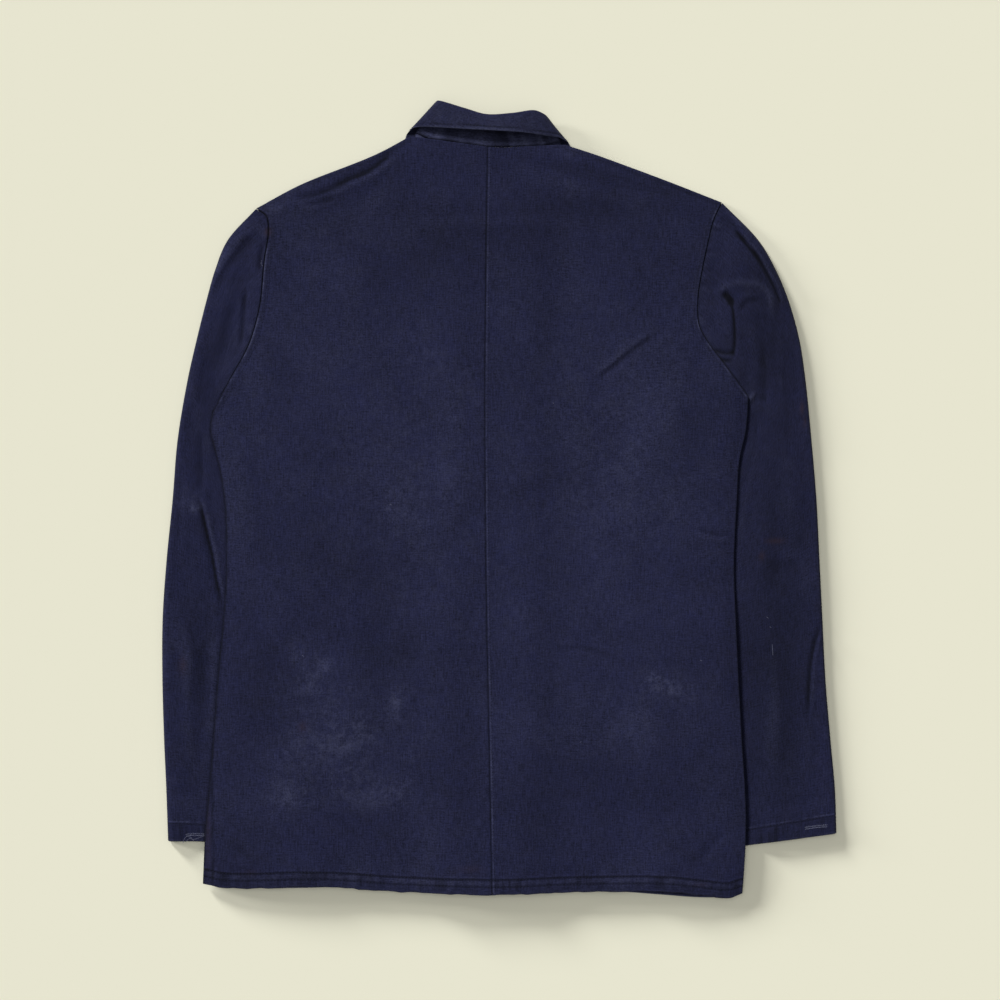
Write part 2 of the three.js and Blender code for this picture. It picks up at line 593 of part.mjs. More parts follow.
// A four-hole button on the surface, under the buttonhole edge of the left front.
function buttonSolid() {
  const ringOf = (radius, steps, x = 0, y = 0) =>
    even(steps - 1, 0, (2 * Math.PI * (steps - 1)) / steps).map(
      (angle) => new THREE.Vector2(x + radius * Math.cos(angle), y + radius * Math.sin(angle)),
    );
  const disc = new THREE.Shape(ringOf(button.radius, 24));
  for (const [sx, sy] of [[1, 1], [-1, 1], [-1, -1], [1, -1]]) {
    disc.holes.push(new THREE.Path(ringOf(button.hole, 6, sx * button.holeSpread, sy * button.holeSpread)));
  }
  const solid = new THREE.ExtrudeGeometry(disc, { depth: button.thick, bevelEnabled: false });
  solid.deleteAttribute("normal");
  solid.deleteAttribute("uv");
  return mergeVertices(solid);
}

const navy = new THREE.MeshStandardMaterial({ color: 0x23253f, roughness: 0.9, metalness: 0 });
const horn = new THREE.MeshStandardMaterial({ color: 0x1b1c26, roughness: 0.45, metalness: 0 });
const jacket = new THREE.Group();

function add(name, geometry, material = navy) {
  const mesh = new THREE.Mesh(geometry, material);
  mesh.name = name;
  jacket.add(mesh);
  return mesh;
}

const onHem = (inHem) => (v, out) => (out.z > 0.9 && inHem(v) ? hemExtra : 0);
for (const hand of ["left", "right"]) {
  add(`back_${hand}`, wall(panel("back", hand), { extra: onHem((v) => v < 2) }));
  const front = panel("front", hand);
  add(`front_${hand}`, wall(front));
  add(`hip_pocket_${hand}`, wall(pocketOn(front, hand)));
  const tube = sleeve(hand);
  add(`sleeve_${hand}`, wall(tube, { ring: true, extra: onHem((v) => v > tube.length - 3) }));
}
add("collar", wall(collar()));
for (let i = 0; i < button.count; i++) {
  const y = button.topY - i * button.pitch;
  const z = frontHeight("left", centreFront, y) - cloth / 2 - air - button.thick;
  add(`button_${i + 1}`, buttonSolid(), horn).position.set(centreFront, y, z);
}

export default jacket;
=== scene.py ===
# %% [markdown]
# # A cotton chore jacket, laid face down
# The jacket is buttoned up and lies on its front, so the camera above it sees its back. The solids that
# were built for it are loaded first and stay fixed. Every piece made here takes the place of one of them.

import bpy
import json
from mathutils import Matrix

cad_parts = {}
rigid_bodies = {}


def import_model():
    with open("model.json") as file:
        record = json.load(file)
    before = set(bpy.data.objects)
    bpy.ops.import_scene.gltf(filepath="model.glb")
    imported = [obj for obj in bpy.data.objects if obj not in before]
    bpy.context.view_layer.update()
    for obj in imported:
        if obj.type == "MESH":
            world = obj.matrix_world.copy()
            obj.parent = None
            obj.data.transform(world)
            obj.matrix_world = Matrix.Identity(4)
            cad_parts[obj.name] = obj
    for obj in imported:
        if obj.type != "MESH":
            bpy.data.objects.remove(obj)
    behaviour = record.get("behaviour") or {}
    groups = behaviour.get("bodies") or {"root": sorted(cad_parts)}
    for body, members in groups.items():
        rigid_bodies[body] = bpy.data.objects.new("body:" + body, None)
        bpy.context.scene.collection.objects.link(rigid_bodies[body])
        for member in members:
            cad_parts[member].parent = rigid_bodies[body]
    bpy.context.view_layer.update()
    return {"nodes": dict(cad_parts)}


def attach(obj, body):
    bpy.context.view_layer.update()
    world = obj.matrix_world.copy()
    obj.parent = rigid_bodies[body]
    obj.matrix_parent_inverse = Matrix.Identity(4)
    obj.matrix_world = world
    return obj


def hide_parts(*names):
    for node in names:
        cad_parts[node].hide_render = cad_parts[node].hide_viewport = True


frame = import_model()

# %% Tools for the whole lesson
import json
import math

import bpy
import numpy as np
from mathutils import Vector

MM = 0.001  # the tables below are in millimetres, Blender is in metres


def in_scene(name, data):
    """A new object with this data, at the origin."""
    thing = bpy.data.objects.new(name, data)
    bpy.context.scene.collection.objects.link(thing)
    return thing


# %% [markdown]
# ## The camera
# The photograph looks straight down on the jacket, and one pixel of it is one millimetre on the cloth. A
# long lens from 2.5 m above gives that width of one metre, with little perspective.

# %% The camera
view_height = 2.5
view_width = 1.0
cloth_level = 0.006  # the height at which the width is one metre
photo_middle = (499.5, 500)  # the point of the photograph that lies at the origin
lens = bpy.data.cameras.new("camera")
lens.sensor_width = 36
lens.lens = lens.sensor_width * view_height / view_width
camera = in_scene("camera", lens)
camera.location = (0.5 * MM, 0, view_height + cloth_level)
bpy.context.scene.camera = camera


def on_photo(*pixels):
    """Places on the jacket, in mm, of points of the photograph."""
    return [(px - photo_middle[0], photo_middle[1] - py) for px, py in pixels]


print("camera at", tuple(round(v, 4) for v in camera.location), "lens", lens.lens)

# %% [markdown]
# ## The sizes of the jacket
# These are the sizes that the solids were built from. A flattened garment is a stack: the sleeves lie on the
# surface, the fronts with their pockets lie on the sleeves, and the back lies on top. Repeating the sizes
# here lets the fine cloth lie exactly where the plain solid lies.

# %% The sizes
cloth = 1.2  # wall of one layer
air = 0.4  # between two layers that lie on each other
layer = cloth + air
seam_gap = 0.3  # between two solids that are sewn together
sewn_gap = 0.05  # and between the fine pieces, which meet in a groove
fold_radius = 1.1  # of the turned edge of a flattened sleeve
body_loft = 2.4  # air between back and fronts
body_spread = 0.7
soft_roll = 1.1  # how much higher the washed cloth rolls up beside its sewn edges
sleeve_loft = 2.6  # air in a sleeve beside the body
hem_depth = 17
cuff_depth = 19
hem_extra = 0.7  # how much thicker a turned hem is
sleeve_stack = 2 * fold_radius + cloth + hem_extra + air
underlap = 20  # of each front past the centre front
centre_front = -10
front_neck_y = 287
hem_y = -394.5
side_length = 490
sleeve_length = 640
button_thick = 2.6
pocket_inner, pocket_width, pocket_top, pocket_height = 65, 165, -148, 205
clear_of = 20  # past a hidden layer, the cloth over it stays lifted this far
drape = 45  # and comes down over this run
open_from, open_to = 10, 34  # distance past the body over which a sleeve fills out
hands = {"left": -1, "right": 1}

# %% The edges of the pieces
armpit = {"left": (-286.5, 88), "right": (249, 103)}
shoulder_point = {"left": (-243.5, 292), "right": (222.5, 298)}
side_rows = {
    "left": [(-296, -370), (-294.6, -340), (-291, -300), (-285.7, -240), (-281.3, -180), (-275.7, -120),
             (-272.5, -60), (-274.5, 0), (-281.5, 40), (-288.6, 70)],
    "right": [(244.4, -370), (246, -340), (245.8, -300), (242.2, -240), (239, -180), (236.3, -120),
              (234.6, -60), (237.4, 0), (240, 40), (246.5, 70)],
}
armhole_rows = {
    "left": [(-267.5, 124), (-250, 157), (-239.5, 195), (-235, 240), (-231, 268), (-233, 284)],
    "right": [(227.5, 132), (200.5, 172), (198, 194), (199.5, 213), (209, 260), (214.5, 281)],
}
front_scoop = 11  # how much deeper the front armhole is cut
outer_rows = {
    "left": [(-272.5, 260), (-285, 230), (-293.5, 200), (-303.5, 160), (-312.5, 120), (-322.5, 60),
             (-327.5, 0), (-333.5, -60), (-337.5, -120), (-337.7, -180), (-336, -240), (-333.8, -290)],
    "right": [(259.5, 260), (277, 230), (289.5, 200), (300.5, 160), (306.5, 120), (312.5, 60),
              (317.5, 0), (320.5, -60), (323.5, -120), (326.5, -180), (331.5, -240), (336, -290)],
}
cuff_outer = {"left": (-332, -341.5), "right": (337.5, -333.7)}
cuff_inner = {"left": (-193, -343.5), "right": (192.5, -353.5)}
inner_rows = {
    "left": [(-262, 70), (-225, 52), (-190, 15), (-172, -50), (-173, -150), (-182, -250)],
    "right": [(225, 84), (188, 60), (163, 12), (155.5, -50), (160.5, -150), (173.5, -250)],
}
centre_back = [(-7.2, hem_y), (-10, -250), (-12.8, -100), (-14.4, 50), (-13.8, 200), (-11.7, 353)]
hem_rows = {
    "left": [(-106.5, -391.5), (-154.5, -388), (-190.5, -386.5), (-274.5, -388), (-296.8, -384)],
    "right": [(85.5, -391.8), (169.5, -391.6), (198, -394.6), (230, -397.7), (243, -394)],
}
neck_point = {"left": (-89.5, 364), "right": (65.5, 355.5)}
back_neck_rows = {"left": [(-53.5, 359)], "right": [(3.5, 352.3), (33.5, 354.2)]}
shoulder_rows = {"left": [(-123.5, 346), (-198.5, 316)], "right": [(96.5, 345.5), (162.5, 321.5)]}
front_neck_rows = {"left": [(-78, 333), (-59, 309), (-35, 292)], "right": [(60, 333), (45, 310), (24, 293)]}

# %% [markdown]
# ## Smooth lines
# A pattern cutter draws each edge as one smooth line through a few marks. This curve does the same: it goes
# through every mark, and its speed follows the spacing of the marks, so it doesn't bulge between close ones.

# %% Smooth lines
def smooth_line(marks, steps=24):
    """Close points of a smooth line through the marks."""
    p = np.array(marks, float)
    p = np.vstack([2 * p[0] - p[1], p, 2 * p[-1] - p[-2]])
    share = np.linspace(0, 1, steps, endpoint=False)[:, None]
    parts = []
    for a, b, c, d in zip(p[:-3], p[1:-2], p[2:-1], p[3:]):
        before, here, after = [max(np.linalg.norm(n - m) ** 0.5, 1e-4) for m, n in ((a, b), (b, c), (c, d))]
        start = ((b - a) / before - (c - a) / (before + here) + (c - b) / here) * here
        end = ((c - b) / here - (d - b) / (here + after) + (d - c) / after) * here
        bend = 2 * (b - c) + start + end
        parts.append(b + start * share + (3 * (c - b) - 2 * start - end) * share**2 + bend * share**3)
    return np.vstack(parts + [p[-2:-1]])


def distance_gone(places):
    """Distance gone along a line of places, or along each row of a grid of them."""
    steps = np.linalg.norm(np.diff(places, axis=-2), axis=-1)
    return np.concatenate([np.zeros((*steps.shape[:-1], 1)), np.cumsum(steps, axis=-1)], axis=-1)


def along(line, share):
    """Places at shares of the length of a line, from 0 at its start to 1 at its end."""
    gone = distance_gone(line)
    at = np.asarray(share, float) * gone[-1]
    return np.stack([np.interp(at, gone, line[:, k]) for k in range(line.shape[1])], axis=-1)


def length_of(line):
    """Length of a line, in the unit of its places."""
    return float(np.linalg.norm(np.diff(line, axis=0), axis=1).sum())


seam = smooth_line(centre_back)
side, armhole, front_armhole, outer, inner, shoulder, back_neck, front_neck, hem = ({} for _ in range(9))
for hand, sign in hands.items():
    side[hand] = smooth_line([hem_rows[hand][-1], *side_rows[hand], armpit[hand]])
    armhole[hand] = smooth_line([armpit[hand], *armhole_rows[hand], shoulder_point[hand]])
    count = len(armhole_rows[hand]) + 1
    scooped = [
        (x - sign * front_scoop * math.sin(math.pi * (i + 1) / count), y)
        for i, (x, y) in enumerate(armhole_rows[hand])
    ]
    front_armhole[hand] = smooth_line([armpit[hand], *scooped, shoulder_point[hand]])
    shoulder_x, shoulder_y = shoulder_point[hand]
    tube_start = (shoulder_x + 1.5 * sign * seam_gap, shoulder_y - seam_gap)
    outer[hand] = smooth_line([tube_start, *outer_rows[hand], cuff_outer[hand]])
    inner[hand] = smooth_line([armpit[hand], *inner_rows[hand], cuff_inner[hand]])
    shoulder[hand] = smooth_line([neck_point[hand], *shoulder_rows[hand], shoulder_point[hand]])
    back_neck[hand] = smooth_line([centre_back[-1], *back_neck_rows[hand], neck_point[hand]])
    front_corner = (centre_front - sign * underlap, front_neck_y)
    front_neck[hand] = smooth_line([neck_point[hand], *front_neck_rows[hand], front_corner])
    hem[hand] = smooth_line([centre_back[0], *hem_rows[hand]])
print("centre back", round(length_of(seam)), "mm, side seam", round(length_of(side["left"])), "mm")

# %% [markdown]
# ## Distances and soft steps
# Cloth shows what lies under it as a soft step. Each step needs how far a place is from a hidden edge, and a
# curve that turns that distance into a smooth rise.

# %% Distances and soft steps
def bell(distance, reach, middle=0):
    """1 at the middle, and about a third at the reach on either side of it."""
    return np.exp(-(((distance - middle) / reach) ** 2))


def smoothstep(value, low, high):
    """A smooth rise from 0 at the low value to 1 at the high one."""
    t = np.clip((value - low) / (high - low), 0, 1)
    return t * t * (3 - 2 * t)


def fall(distance, plateau, run):
    """1 up to the plateau, then a smooth fall to 0 over the run."""
    return 1 - smoothstep(distance, plateau, plateau + run)


def beside(line, x, y):
    """Distance to a line, above 0 on its left, and how far along it the nearest point is, from 0 to 1."""
    nearest = np.full(np.shape(x), np.inf)
    hand_side = np.ones(np.shape(x))
    share = np.zeros(np.shape(x))
    lengths = np.linalg.norm(np.diff(line, axis=0), axis=1)
    gone = np.concatenate([[0], np.cumsum(lengths)]) / max(lengths.sum(), 1e-9)
    for i, (start, end) in enumerate(zip(line[:-1], line[1:])):
        dx, dy = end[0] - start[0], end[1] - start[1]
        px, py = x - start[0], y - start[1]
        t = np.clip((px * dx + py * dy) / max(dx * dx + dy * dy, 1e-9), 0, 1)
        distance = np.hypot(px - t * dx, py - t * dy)
        closer = distance < nearest
        nearest = np.where(closer, distance, nearest)
        hand_side = np.where(closer, np.sign(dx * py - dy * px + 1e-12), hand_side)
        share = np.where(closer, gone[i] + t * (gone[i + 1] - gone[i]), share)
    return nearest, hand_side, share


def distance_to_line(line, x, y):
    """Distance to the nearest point of a line."""
    return beside(line, x, y)[0]


def distance_to(outline, x, y):
    """The same to a closed outline, 0 inside it."""
    inside = np.zeros(np.shape(x), bool)
    closed = np.vstack([outline, outline[:1]])
    for (ax, ay), (bx, by) in zip(closed[:-1], closed[1:]):
        if ay == by:
            continue
        crossed = ((ay > y) != (by > y)) & (x < ax + (y - ay) * (bx - ax) / (by - ay))
        inside ^= crossed
    return np.where(inside, 0, distance_to_line(closed, x, y))


# %% [markdown]
# ## What lies hidden under the back
# The tucked sleeves, the hip pockets and the ends of the collar lie between the surface and the back. Their
# outlines say where the cloth over them is lifted.

# %% Hidden outlines
wing = {
    "left": np.array([(-61, 392), (-12, 318), (-54, 245), (-86, 292), (-97, 352)], float),
    "right": np.array([(47, 380), (-8, 318), (34, 245), (66, 292), (76, 345)], float),
}
hidden_sleeve = {}
pocket = {}
for hand, sign in hands.items():
    corner = [cuff_outer[hand], (cuff_outer[hand][0], armpit[hand][1])]
    hidden_sleeve[hand] = np.vstack([along(inner[hand], np.linspace(0, 1, 31)), corner])
    near = centre_front + sign * pocket_inner
    far = near + sign * pocket_width
    bottom = pocket_top - pocket_height
    pocket[hand] = np.array([(near, pocket_top), (far, pocket_top), (far, bottom), (near, bottom)], float)
sewn_edges = [along(line[hand], np.linspace(0, 1, 25)) for hand in hands for line in (side, shoulder)]
body_outline = np.vstack([
    along(side["left"], np.linspace(1, 0, 25)),
    along(side["right"], np.linspace(0, 1, 25)),
    along(armhole["right"], np.linspace(0, 1, 21)),
    along(armhole["left"], np.linspace(1, 0, 21)),
])
print("outline of the back:", len(body_outline), "points")

# %% The height of each layer
def to_nearer(outlines, x, y):
    """Distance to the nearer of the left and the right outline."""
    return np.minimum(distance_to(outlines["left"], x, y), distance_to(outlines["right"], x, y))


def below_neck(y):
    """1 below the front neck edge, falling to 0 above it."""
    return fall(y - front_neck_y, 0, drape)


def front_height(hand, x, y):
    """Middle of the cloth of a front."""
    tucked, pockets, wings = (to_nearer(outlines, x, y) for outlines in (hidden_sleeve, pocket, wing))
    buttons = (button_thick + air) * fall(np.abs(x - centre_front), 26, 46) * fall(y - front_neck_y, -15, 15)
    height = cloth / 2 + sleeve_stack * fall(tucked, clear_of, drape) + buttons
    height = height + (layer + air) * fall(pockets, clear_of, drape) + layer * fall(wings, clear_of, drape)
    if hand == "right":
        past_lap = fall(x - centre_front - underlap, clear_of, drape)
        height = height + (layer + 2 * air) * past_lap * below_neck(y)
    return height


def back_level(x, y):
    """Lowest middle of the back over the fronts, and the room above it that its folds may use."""
    far = np.min([distance_to_line(edge, x, y) for edge in sewn_edges], axis=0)
    overlap = (layer + 2 * air) * fall(np.abs(x - centre_front), underlap + clear_of, drape) * below_neck(y)
    room = body_spread * smoothstep(far, 0, clear_of) + body_loft * smoothstep(far, 0, 2 * drape)
    room = room + soft_roll * smoothstep(far, 0.5, 12)
    return front_height("left", x, y) + overlap + cloth + seam_gap, room


# %% [markdown]
# ## Folds and creases
# Cloth that was folded and worn keeps soft troughs with a low ridge beside each. They are drawn from
# the photograph: where a fold runs, how wide and how deep it is, and on which side it is steeper. Each is
# different in length, depth and spacing. A crease that the photograph hides gets a similar one.

# %% A fold
def fold_height(way, width, depth, lean, x, y):
    """Height of one fold: a trough of a depth, or a ridge where that is below 0, steeper on one side."""
    line = smooth_line(way, 6)
    reach = 4.5 * width
    low, high = line.min(axis=0) - reach, line.max(axis=0) + reach
    close = (x > low[0]) & (x < high[0]) & (y > low[1]) & (y < high[1])
    height = np.zeros(np.shape(x))
    if not close.any():
        return height
    distance, hand_side, share = beside(line, x[close], y[close])
    signed = distance * hand_side
    ends = smoothstep(share, 0, 0.22) * (1 - smoothstep(share, 0.7, 1)) * (share > 0) * (share < 1)
    steep = np.where(signed * lean > 0, 0.6, 1.25) * width
    trough = bell(signed, steep)
    ridge = bell(signed, 1.1 * width, lean * 1.5 * width)
    height[close] = depth * ends * (0.38 * abs(lean) * ridge - trough)
    return height


# %% The folds of the back
back_folds = [
    # way on the photograph, width and depth in mm, steeper side: 1 left of its way, -1 right, 0 neither
    ([(398, 149), (384, 160), (371, 170), (350, 179), (326, 187)], 3.8, 2.1, 1),
    ([(354, 181), (335, 188), (318, 194), (288, 200)], 3, 1.6, 1),
    ([(338, 197), (318, 203), (301, 204)], 2.4, 1.3, 1),
    ([(262, 207), (272, 209), (286, 208)], 4, -0.6, 0),
    ([(404, 166), (380, 182), (345, 200), (300, 214)], 11, 0.6, 1),
    ([
        (515, 158), (545, 165), (570, 172), (600, 182), (625, 187), (655, 190), (690, 197), (712, 204),
    ], 9, 1.0, -1),
    ([(575, 164), (612, 176), (652, 184)], 5, 0.5, -1),
    ([(640, 203), (672, 209), (704, 222)], 8, 0.4, -1),
    ([(590, 384), (600, 376), (615, 364), (632, 350), (645, 341), (657, 334), (668, 331)], 2.6, 1.5, 1),
    ([(697, 527), (705, 533), (720, 536), (734, 534)], 2.4, 1.2, -1),
    ([(700, 545), (716, 548), (733, 545)], 4, 0.35, -1),
    ([(550, 651), (566, 648), (582, 648), (600, 652), (620, 662)], 2.6, 0.8, 1),
    ([(553, 655), (553, 700), (555, 742)], 5, 0.25, 1),
    ([(380, 651), (398, 654), (420, 665)], 4, 0.35, -1),
    ([(235, 842), (250, 856), (264, 870)], 3, 1.0, 1),
    ([(328, 808), (345, 824), (364, 840)], 3.4, 0.9, 1),
    ([(698, 862), (712, 846), (727, 828)], 3.6, 0.8, -1),
    ([(400, 676), (420, 686), (442, 700)], 6, 0.3, 1),
    ([(350, 300), (395, 276), (440, 252), (482, 240)], 22, 0.5, 1),
    ([(322, 228), (355, 252), (402, 292)], 20, 0.45, -1),
    ([(284, 480), (365, 560), (440, 670)], 34, 0.6, 1),
    ([(560, 650), (620, 665), (700, 710)], 30, 0.5, -1),
    ([(262, 330), (285, 372), (300, 430)], 13, 0.4, 1),
    ([(250, 420), (262, 500), (258, 590)], 15, 0.35, -1),
    ([(700, 350), (688, 400), (700, 470)], 14, 0.4, -1),
    ([(716, 590), (704, 660), (716, 730)], 13, 0.35, 1),
    ([(540, 205), (585, 214), (640, 218)], 9, 0.3, -1),
    ([(415, 360), (430, 460), (424, 540)], 24, 0.3, 1),
    ([(560, 440), (548, 520), (566, 610)], 26, 0.3, -1),
    ([(470, 700), (462, 760), (474, 830)], 15, 0.3, 1),
    ([(520, 742), (560, 770), (628, 782)], 17, 0.35, 1),
    ([(250, 700), (300, 742), (372, 752)], 16, 0.35, -1),
    ([(246, 610), (262, 640), (290, 662)], 9, 0.3, 1),
    ([(430, 168), (450, 186), (462, 214)], 8, 0.35, -1),
    ([(560, 300), (612, 322), (668, 318)], 15, 0.3, 1),
    ([(300, 800), (340, 786), (402, 792)], 10, 0.25, 1),
    ([(610, 800), (650, 812), (700, 800)], 10, 0.3, -1),
]
print("folds drawn on the back:", len(back_folds))

# %% The folds of the sleeves
sleeve_folds = {
    "right": [
        ([(721, 211), (735, 227), (748, 243)], 6, 0.8, 1),
        ([(732, 225), (745, 241), (755, 253), (763, 265), (769, 276), (777, 292), (783, 316)], 1.6, 2.6, 1),
        ([(766, 286), (771, 302), (774, 326)], 3, -0.4, 0),
        ([(715, 290), (728, 286), (740, 283), (761, 287)], 3, -0.8, 0),
        ([(722, 292), (728, 297), (734, 307)], 3.0, 2.3, 0),
        ([(731, 296), (734, 318), (735, 342), (732, 366)], 1.5, 1.6, 0),
        ([(712, 349), (724, 353), (738, 352)], 1.7, 1.5, 0),
        ([(713, 355), (722, 360), (735, 361)], 1.7, 1.5, 0),
        ([(738, 313), (744, 304), (750, 300), (764, 298)], 3, 0.9, 1),
        ([(749, 279), (762, 287), (770, 296), (773, 315)], 2.4, -0.8, 0),
        ([(710, 226), (718, 229), (727, 229)], 1.8, 0.8, 1),
        ([(703, 250), (711, 252), (720, 251)], 1.7, 0.6, -1),
        ([(700, 270), (708, 271), (717, 269)], 1.6, 0.5, 1),
        ([(699, 284), (706, 287), (714, 291)], 1.8, 0.7, -1),
        ([(740, 392), (748, 397), (758, 403)], 1.8, -1.3, 0),
        ([(744, 404), (750, 399), (757, 391)], 1.7, -1.2, 0),
        ([(741, 400), (747, 404), (753, 411)], 1.6, 0.9, 1),
        ([(764, 340), (766, 380), (763, 430)], 4, 0.45, 1),
        ([(783, 350), (787, 400), (789, 470)], 4, 0.45, -1),
        ([(757, 312), (762, 350), (760, 412)], 5, 0.6, -1),
        ([(776, 316), (774, 356), (779, 408)], 6, 0.5, 1),
        ([(790, 326), (795, 360), (796, 422)], 6, 0.5, 1),
        ([(733, 376), (740, 386), (749, 397)], 2.0, 1.1, 1),
        ([(752, 402), (760, 399), (772, 402)], 3, 0.6, -1),
        ([(750, 408), (756, 420), (758, 440)], 3.5, 0.5, 1),
        ([(829, 618), (822, 627), (816, 641), (812, 660), (809.5, 690), (809, 730)], 2.2, 1.5, 1),
        ([(812, 700), (816, 740), (815, 790)], 6, 0.4, -1),
        ([(770, 480), (776, 540), (772, 610)], 10, 0.6, 1),
        ([(800, 440), (806, 500), (803, 560)], 8, 0.5, -1),
        ([(752, 620), (760, 690), (758, 760)], 10, 0.5, 1),
        ([(782, 640), (788, 720), (786, 790)], 10, 0.5, -1),
        ([(770, 808), (800, 800), (826, 796)], 6, 0.4, 1),
        ([(760, 560), (784, 566), (806, 560)], 7, 0.4, 1),
    ],
    "left": [
        ([(262, 226), (252, 237), (240, 250), (228, 266), (218, 284), (207, 310)], 5, 1.0, -1),
        ([(264, 244), (261, 258), (260, 275)], 2.4, 1.3, 1),
        ([(247, 282), (244.6, 302), (243.4, 320), (241, 342), (238, 358)], 2.2, 1.3, 0),
        ([(236, 300), (228, 330), (222, 362)], 6, 0.6, 1),
        ([(214, 330), (204, 370), (199, 420)], 8, 0.5, -1),
        ([(183, 462), (181, 498), (178, 545), (175, 580)], 4, 0.5, 1),
        ([(200, 428), (202, 462), (201, 502)], 4, 0.7, 1),
        ([(197, 488), (204, 519), (207.5, 535), (212, 554), (216, 578), (220, 597), (225, 626)], 2.4, 2.0, 1),
        ([(190, 600), (196, 660), (192, 730)], 8, 0.5, -1),
        ([(176, 640), (180, 700), (178, 770)], 7, 0.4, 1),
        ([(205, 640), (204, 700), (199, 760)], 6, 0.5, 1),
        ([(182, 380), (190, 420), (188, 452)], 7, 0.4, 1),
        ([(172, 800), (186, 792), (200, 795)], 5, 0.4, -1),
        ([(232, 222), (216, 244), (206, 275)], 8, 0.4, 1),
    ],
}
print("folds drawn on the sleeves:", sum(len(rows) for rows in sleeve_folds.values()))


# %% All the folds of one piece
def folds_at(rows, x, y):
    """Height of all the folds of one piece, in mm."""
    height = np.zeros(np.shape(x))
    for way, width, depth, lean in rows:
        height = height + fold_height(on_photo(*way), width, depth, lean, x, y)
    return height


def painted_fold_shade(folds):
    """Painted shade in the deep part of a fold, darker the deeper it is."""
    return np.clip(0.2 * np.clip(-folds, 0, 3) ** 2, 0, 0.92)


# %% [markdown]
# ## The unevenness of washed cloth
# Between its folds, washed cotton is never flat. Soft swells a few centimetres across, and small puckers of
# about a centimetre, come from seeded random grids that are smoothed between their points. A fixed seed
# gives the same cloth each time.

# %% Swells and puckers
def swell(x, y, size, seed):
    """Smooth, uneven ups and downs from -1 to 1, each about size mm across. size may differ in x and y."""
    grid = np.random.RandomState(seed).uniform(-1, 1, (64, 64))
    size_x, size_y = size if isinstance(size, tuple) else (size, size)
    gx, gy = np.asarray(x) / size_x + 640, np.asarray(y) / size_y + 640
    ix, iy = np.floor(gx).astype(int), np.floor(gy).astype(int)
    fx, fy = gx - ix, gy - iy
    fx, fy = fx * fx * (3 - 2 * fx), fy * fy * (3 - 2 * fy)
    low = grid[ix % 64, iy % 64] * (1 - fx) + grid[(ix + 1) % 64, iy % 64] * fx
    high = grid[ix % 64, (iy + 1) % 64] * (1 - fx) + grid[(ix + 1) % 64, (iy + 1) % 64] * fx
    return low * (1 - fy) + high * fy


def washed(x, y, seed):
    """Unevenness of one piece of washed cloth, in mm."""
    height = 0.42 * swell(x, y, 74, seed) + 0.2 * swell(x, y, (24, 38), seed + 1)
    height = height + 0.07 * swell(x, y, (9, 12), seed + 2) + 0.04 * swell(x, y, 5, seed + 3)
    return height


print("swell at the middle:", round(float(swell(0.0, 0.0, 74, 3)), 3))

# %% [markdown]
# ## One wall of cloth
# Each piece is a grid of places for the middle of the cloth, with the way that faces out at each. A wall with
# an inner and an outer skin is made round that grid. Its open edges are rounded, as turned cloth is. Each
# point also keeps its place on the cloth in metres as a UV map, and its four marks: wear with painted
# highlight, fade with painted light, soil, and painted shade with dark seams.

# %% One wall of cloth
up = np.array([0.0, 0.0, 1.0])


def wall(name, middle, out, above, below, spread, marks, ring=False):
    """A closed wall of cloth, this thick above and below each place. out is one way for each, or for all."""
    rows, across = middle.shape[:2]
    skins = [middle + out * above[..., None], middle - out * below[..., None]]
    corners = np.concatenate([skin.reshape(-1, 3) for skin in skins]) * MM
    columns = across + 1 if ring else across  # a ring's last column is its first one again
    skin_size = rows * columns
    number = np.arange(skin_size).reshape(rows, columns)
    quads = np.stack([number[:-1, :-1], number[:-1, 1:], number[1:, 1:], number[1:, :-1]], -1).reshape(-1, 4)
    faces = [quads, quads[:, ::-1] + skin_size]
    borders = [number[0, ::-1], number[-1]]
    if not ring:
        borders += [number[:, 0], number[::-1, -1]]
    for line in borders:
        start, end = line[:-1], line[1:]
        faces.append(np.stack([start, end, end + skin_size, start + skin_size], -1))
    cells = np.concatenate(faces)
    row_of, column_of = np.divmod(cells % skin_size, columns)
    faces = cells // skin_size * rows * across + row_of * across + column_of % across
    a, b, c, d = (corners[faces[:, k]] for k in range(4))
    if np.einsum("ij,ij->i", a, np.cross(b, c) + np.cross(c, d)).sum() < 0:
        faces, cells = faces[:, ::-1], cells[:, ::-1]
    mesh = bpy.data.meshes.new(name)
    mesh.from_pydata(corners.tolist(), [], faces.tolist())
    mesh.polygons.foreach_set("use_smooth", np.ones(len(faces), bool))
    places = spread.reshape(-1, 2) * MM
    layer_of_uv = mesh.uv_layers.new(name="cloth")
    layer_of_uv.data.foreach_set("uv", places[cells.reshape(-1) % skin_size].reshape(-1))
    for mark, values in marks.items():
        attribute = mesh.attributes.new(mark, "FLOAT", "POINT")
        attribute.data.foreach_set("value", np.concatenate([values.reshape(-1)] * 2))
    mesh.update()
    mesh.materials.append(cotton)
    middle_area = np.linalg.norm(np.cross(c - a, d - b), axis=1).sum() / 4
    area = round(float(middle_area), 3)
    print(name, "has", 2 * len(faces), "triangles, and", area, "square metres of cloth")
    return in_scene(name, mesh)


def rounding(distance, radius=0.9):
    """Share of the full thickness at a distance from an open edge."""
    near = np.clip(distance / radius, 0, 1)
    return 0.12 + 0.88 * np.sqrt(1 - (1 - near) ** 2)

# %% [markdown]
# ## Stitches
# A sewing machine lays one short, slightly sunken stitch after another along a line. Geometry Nodes place a
# small rounded stitch at each step of a path, turned along it, with a little seeded waver. The nodes end in
# real geometry, and the result is turned into a plain mesh.

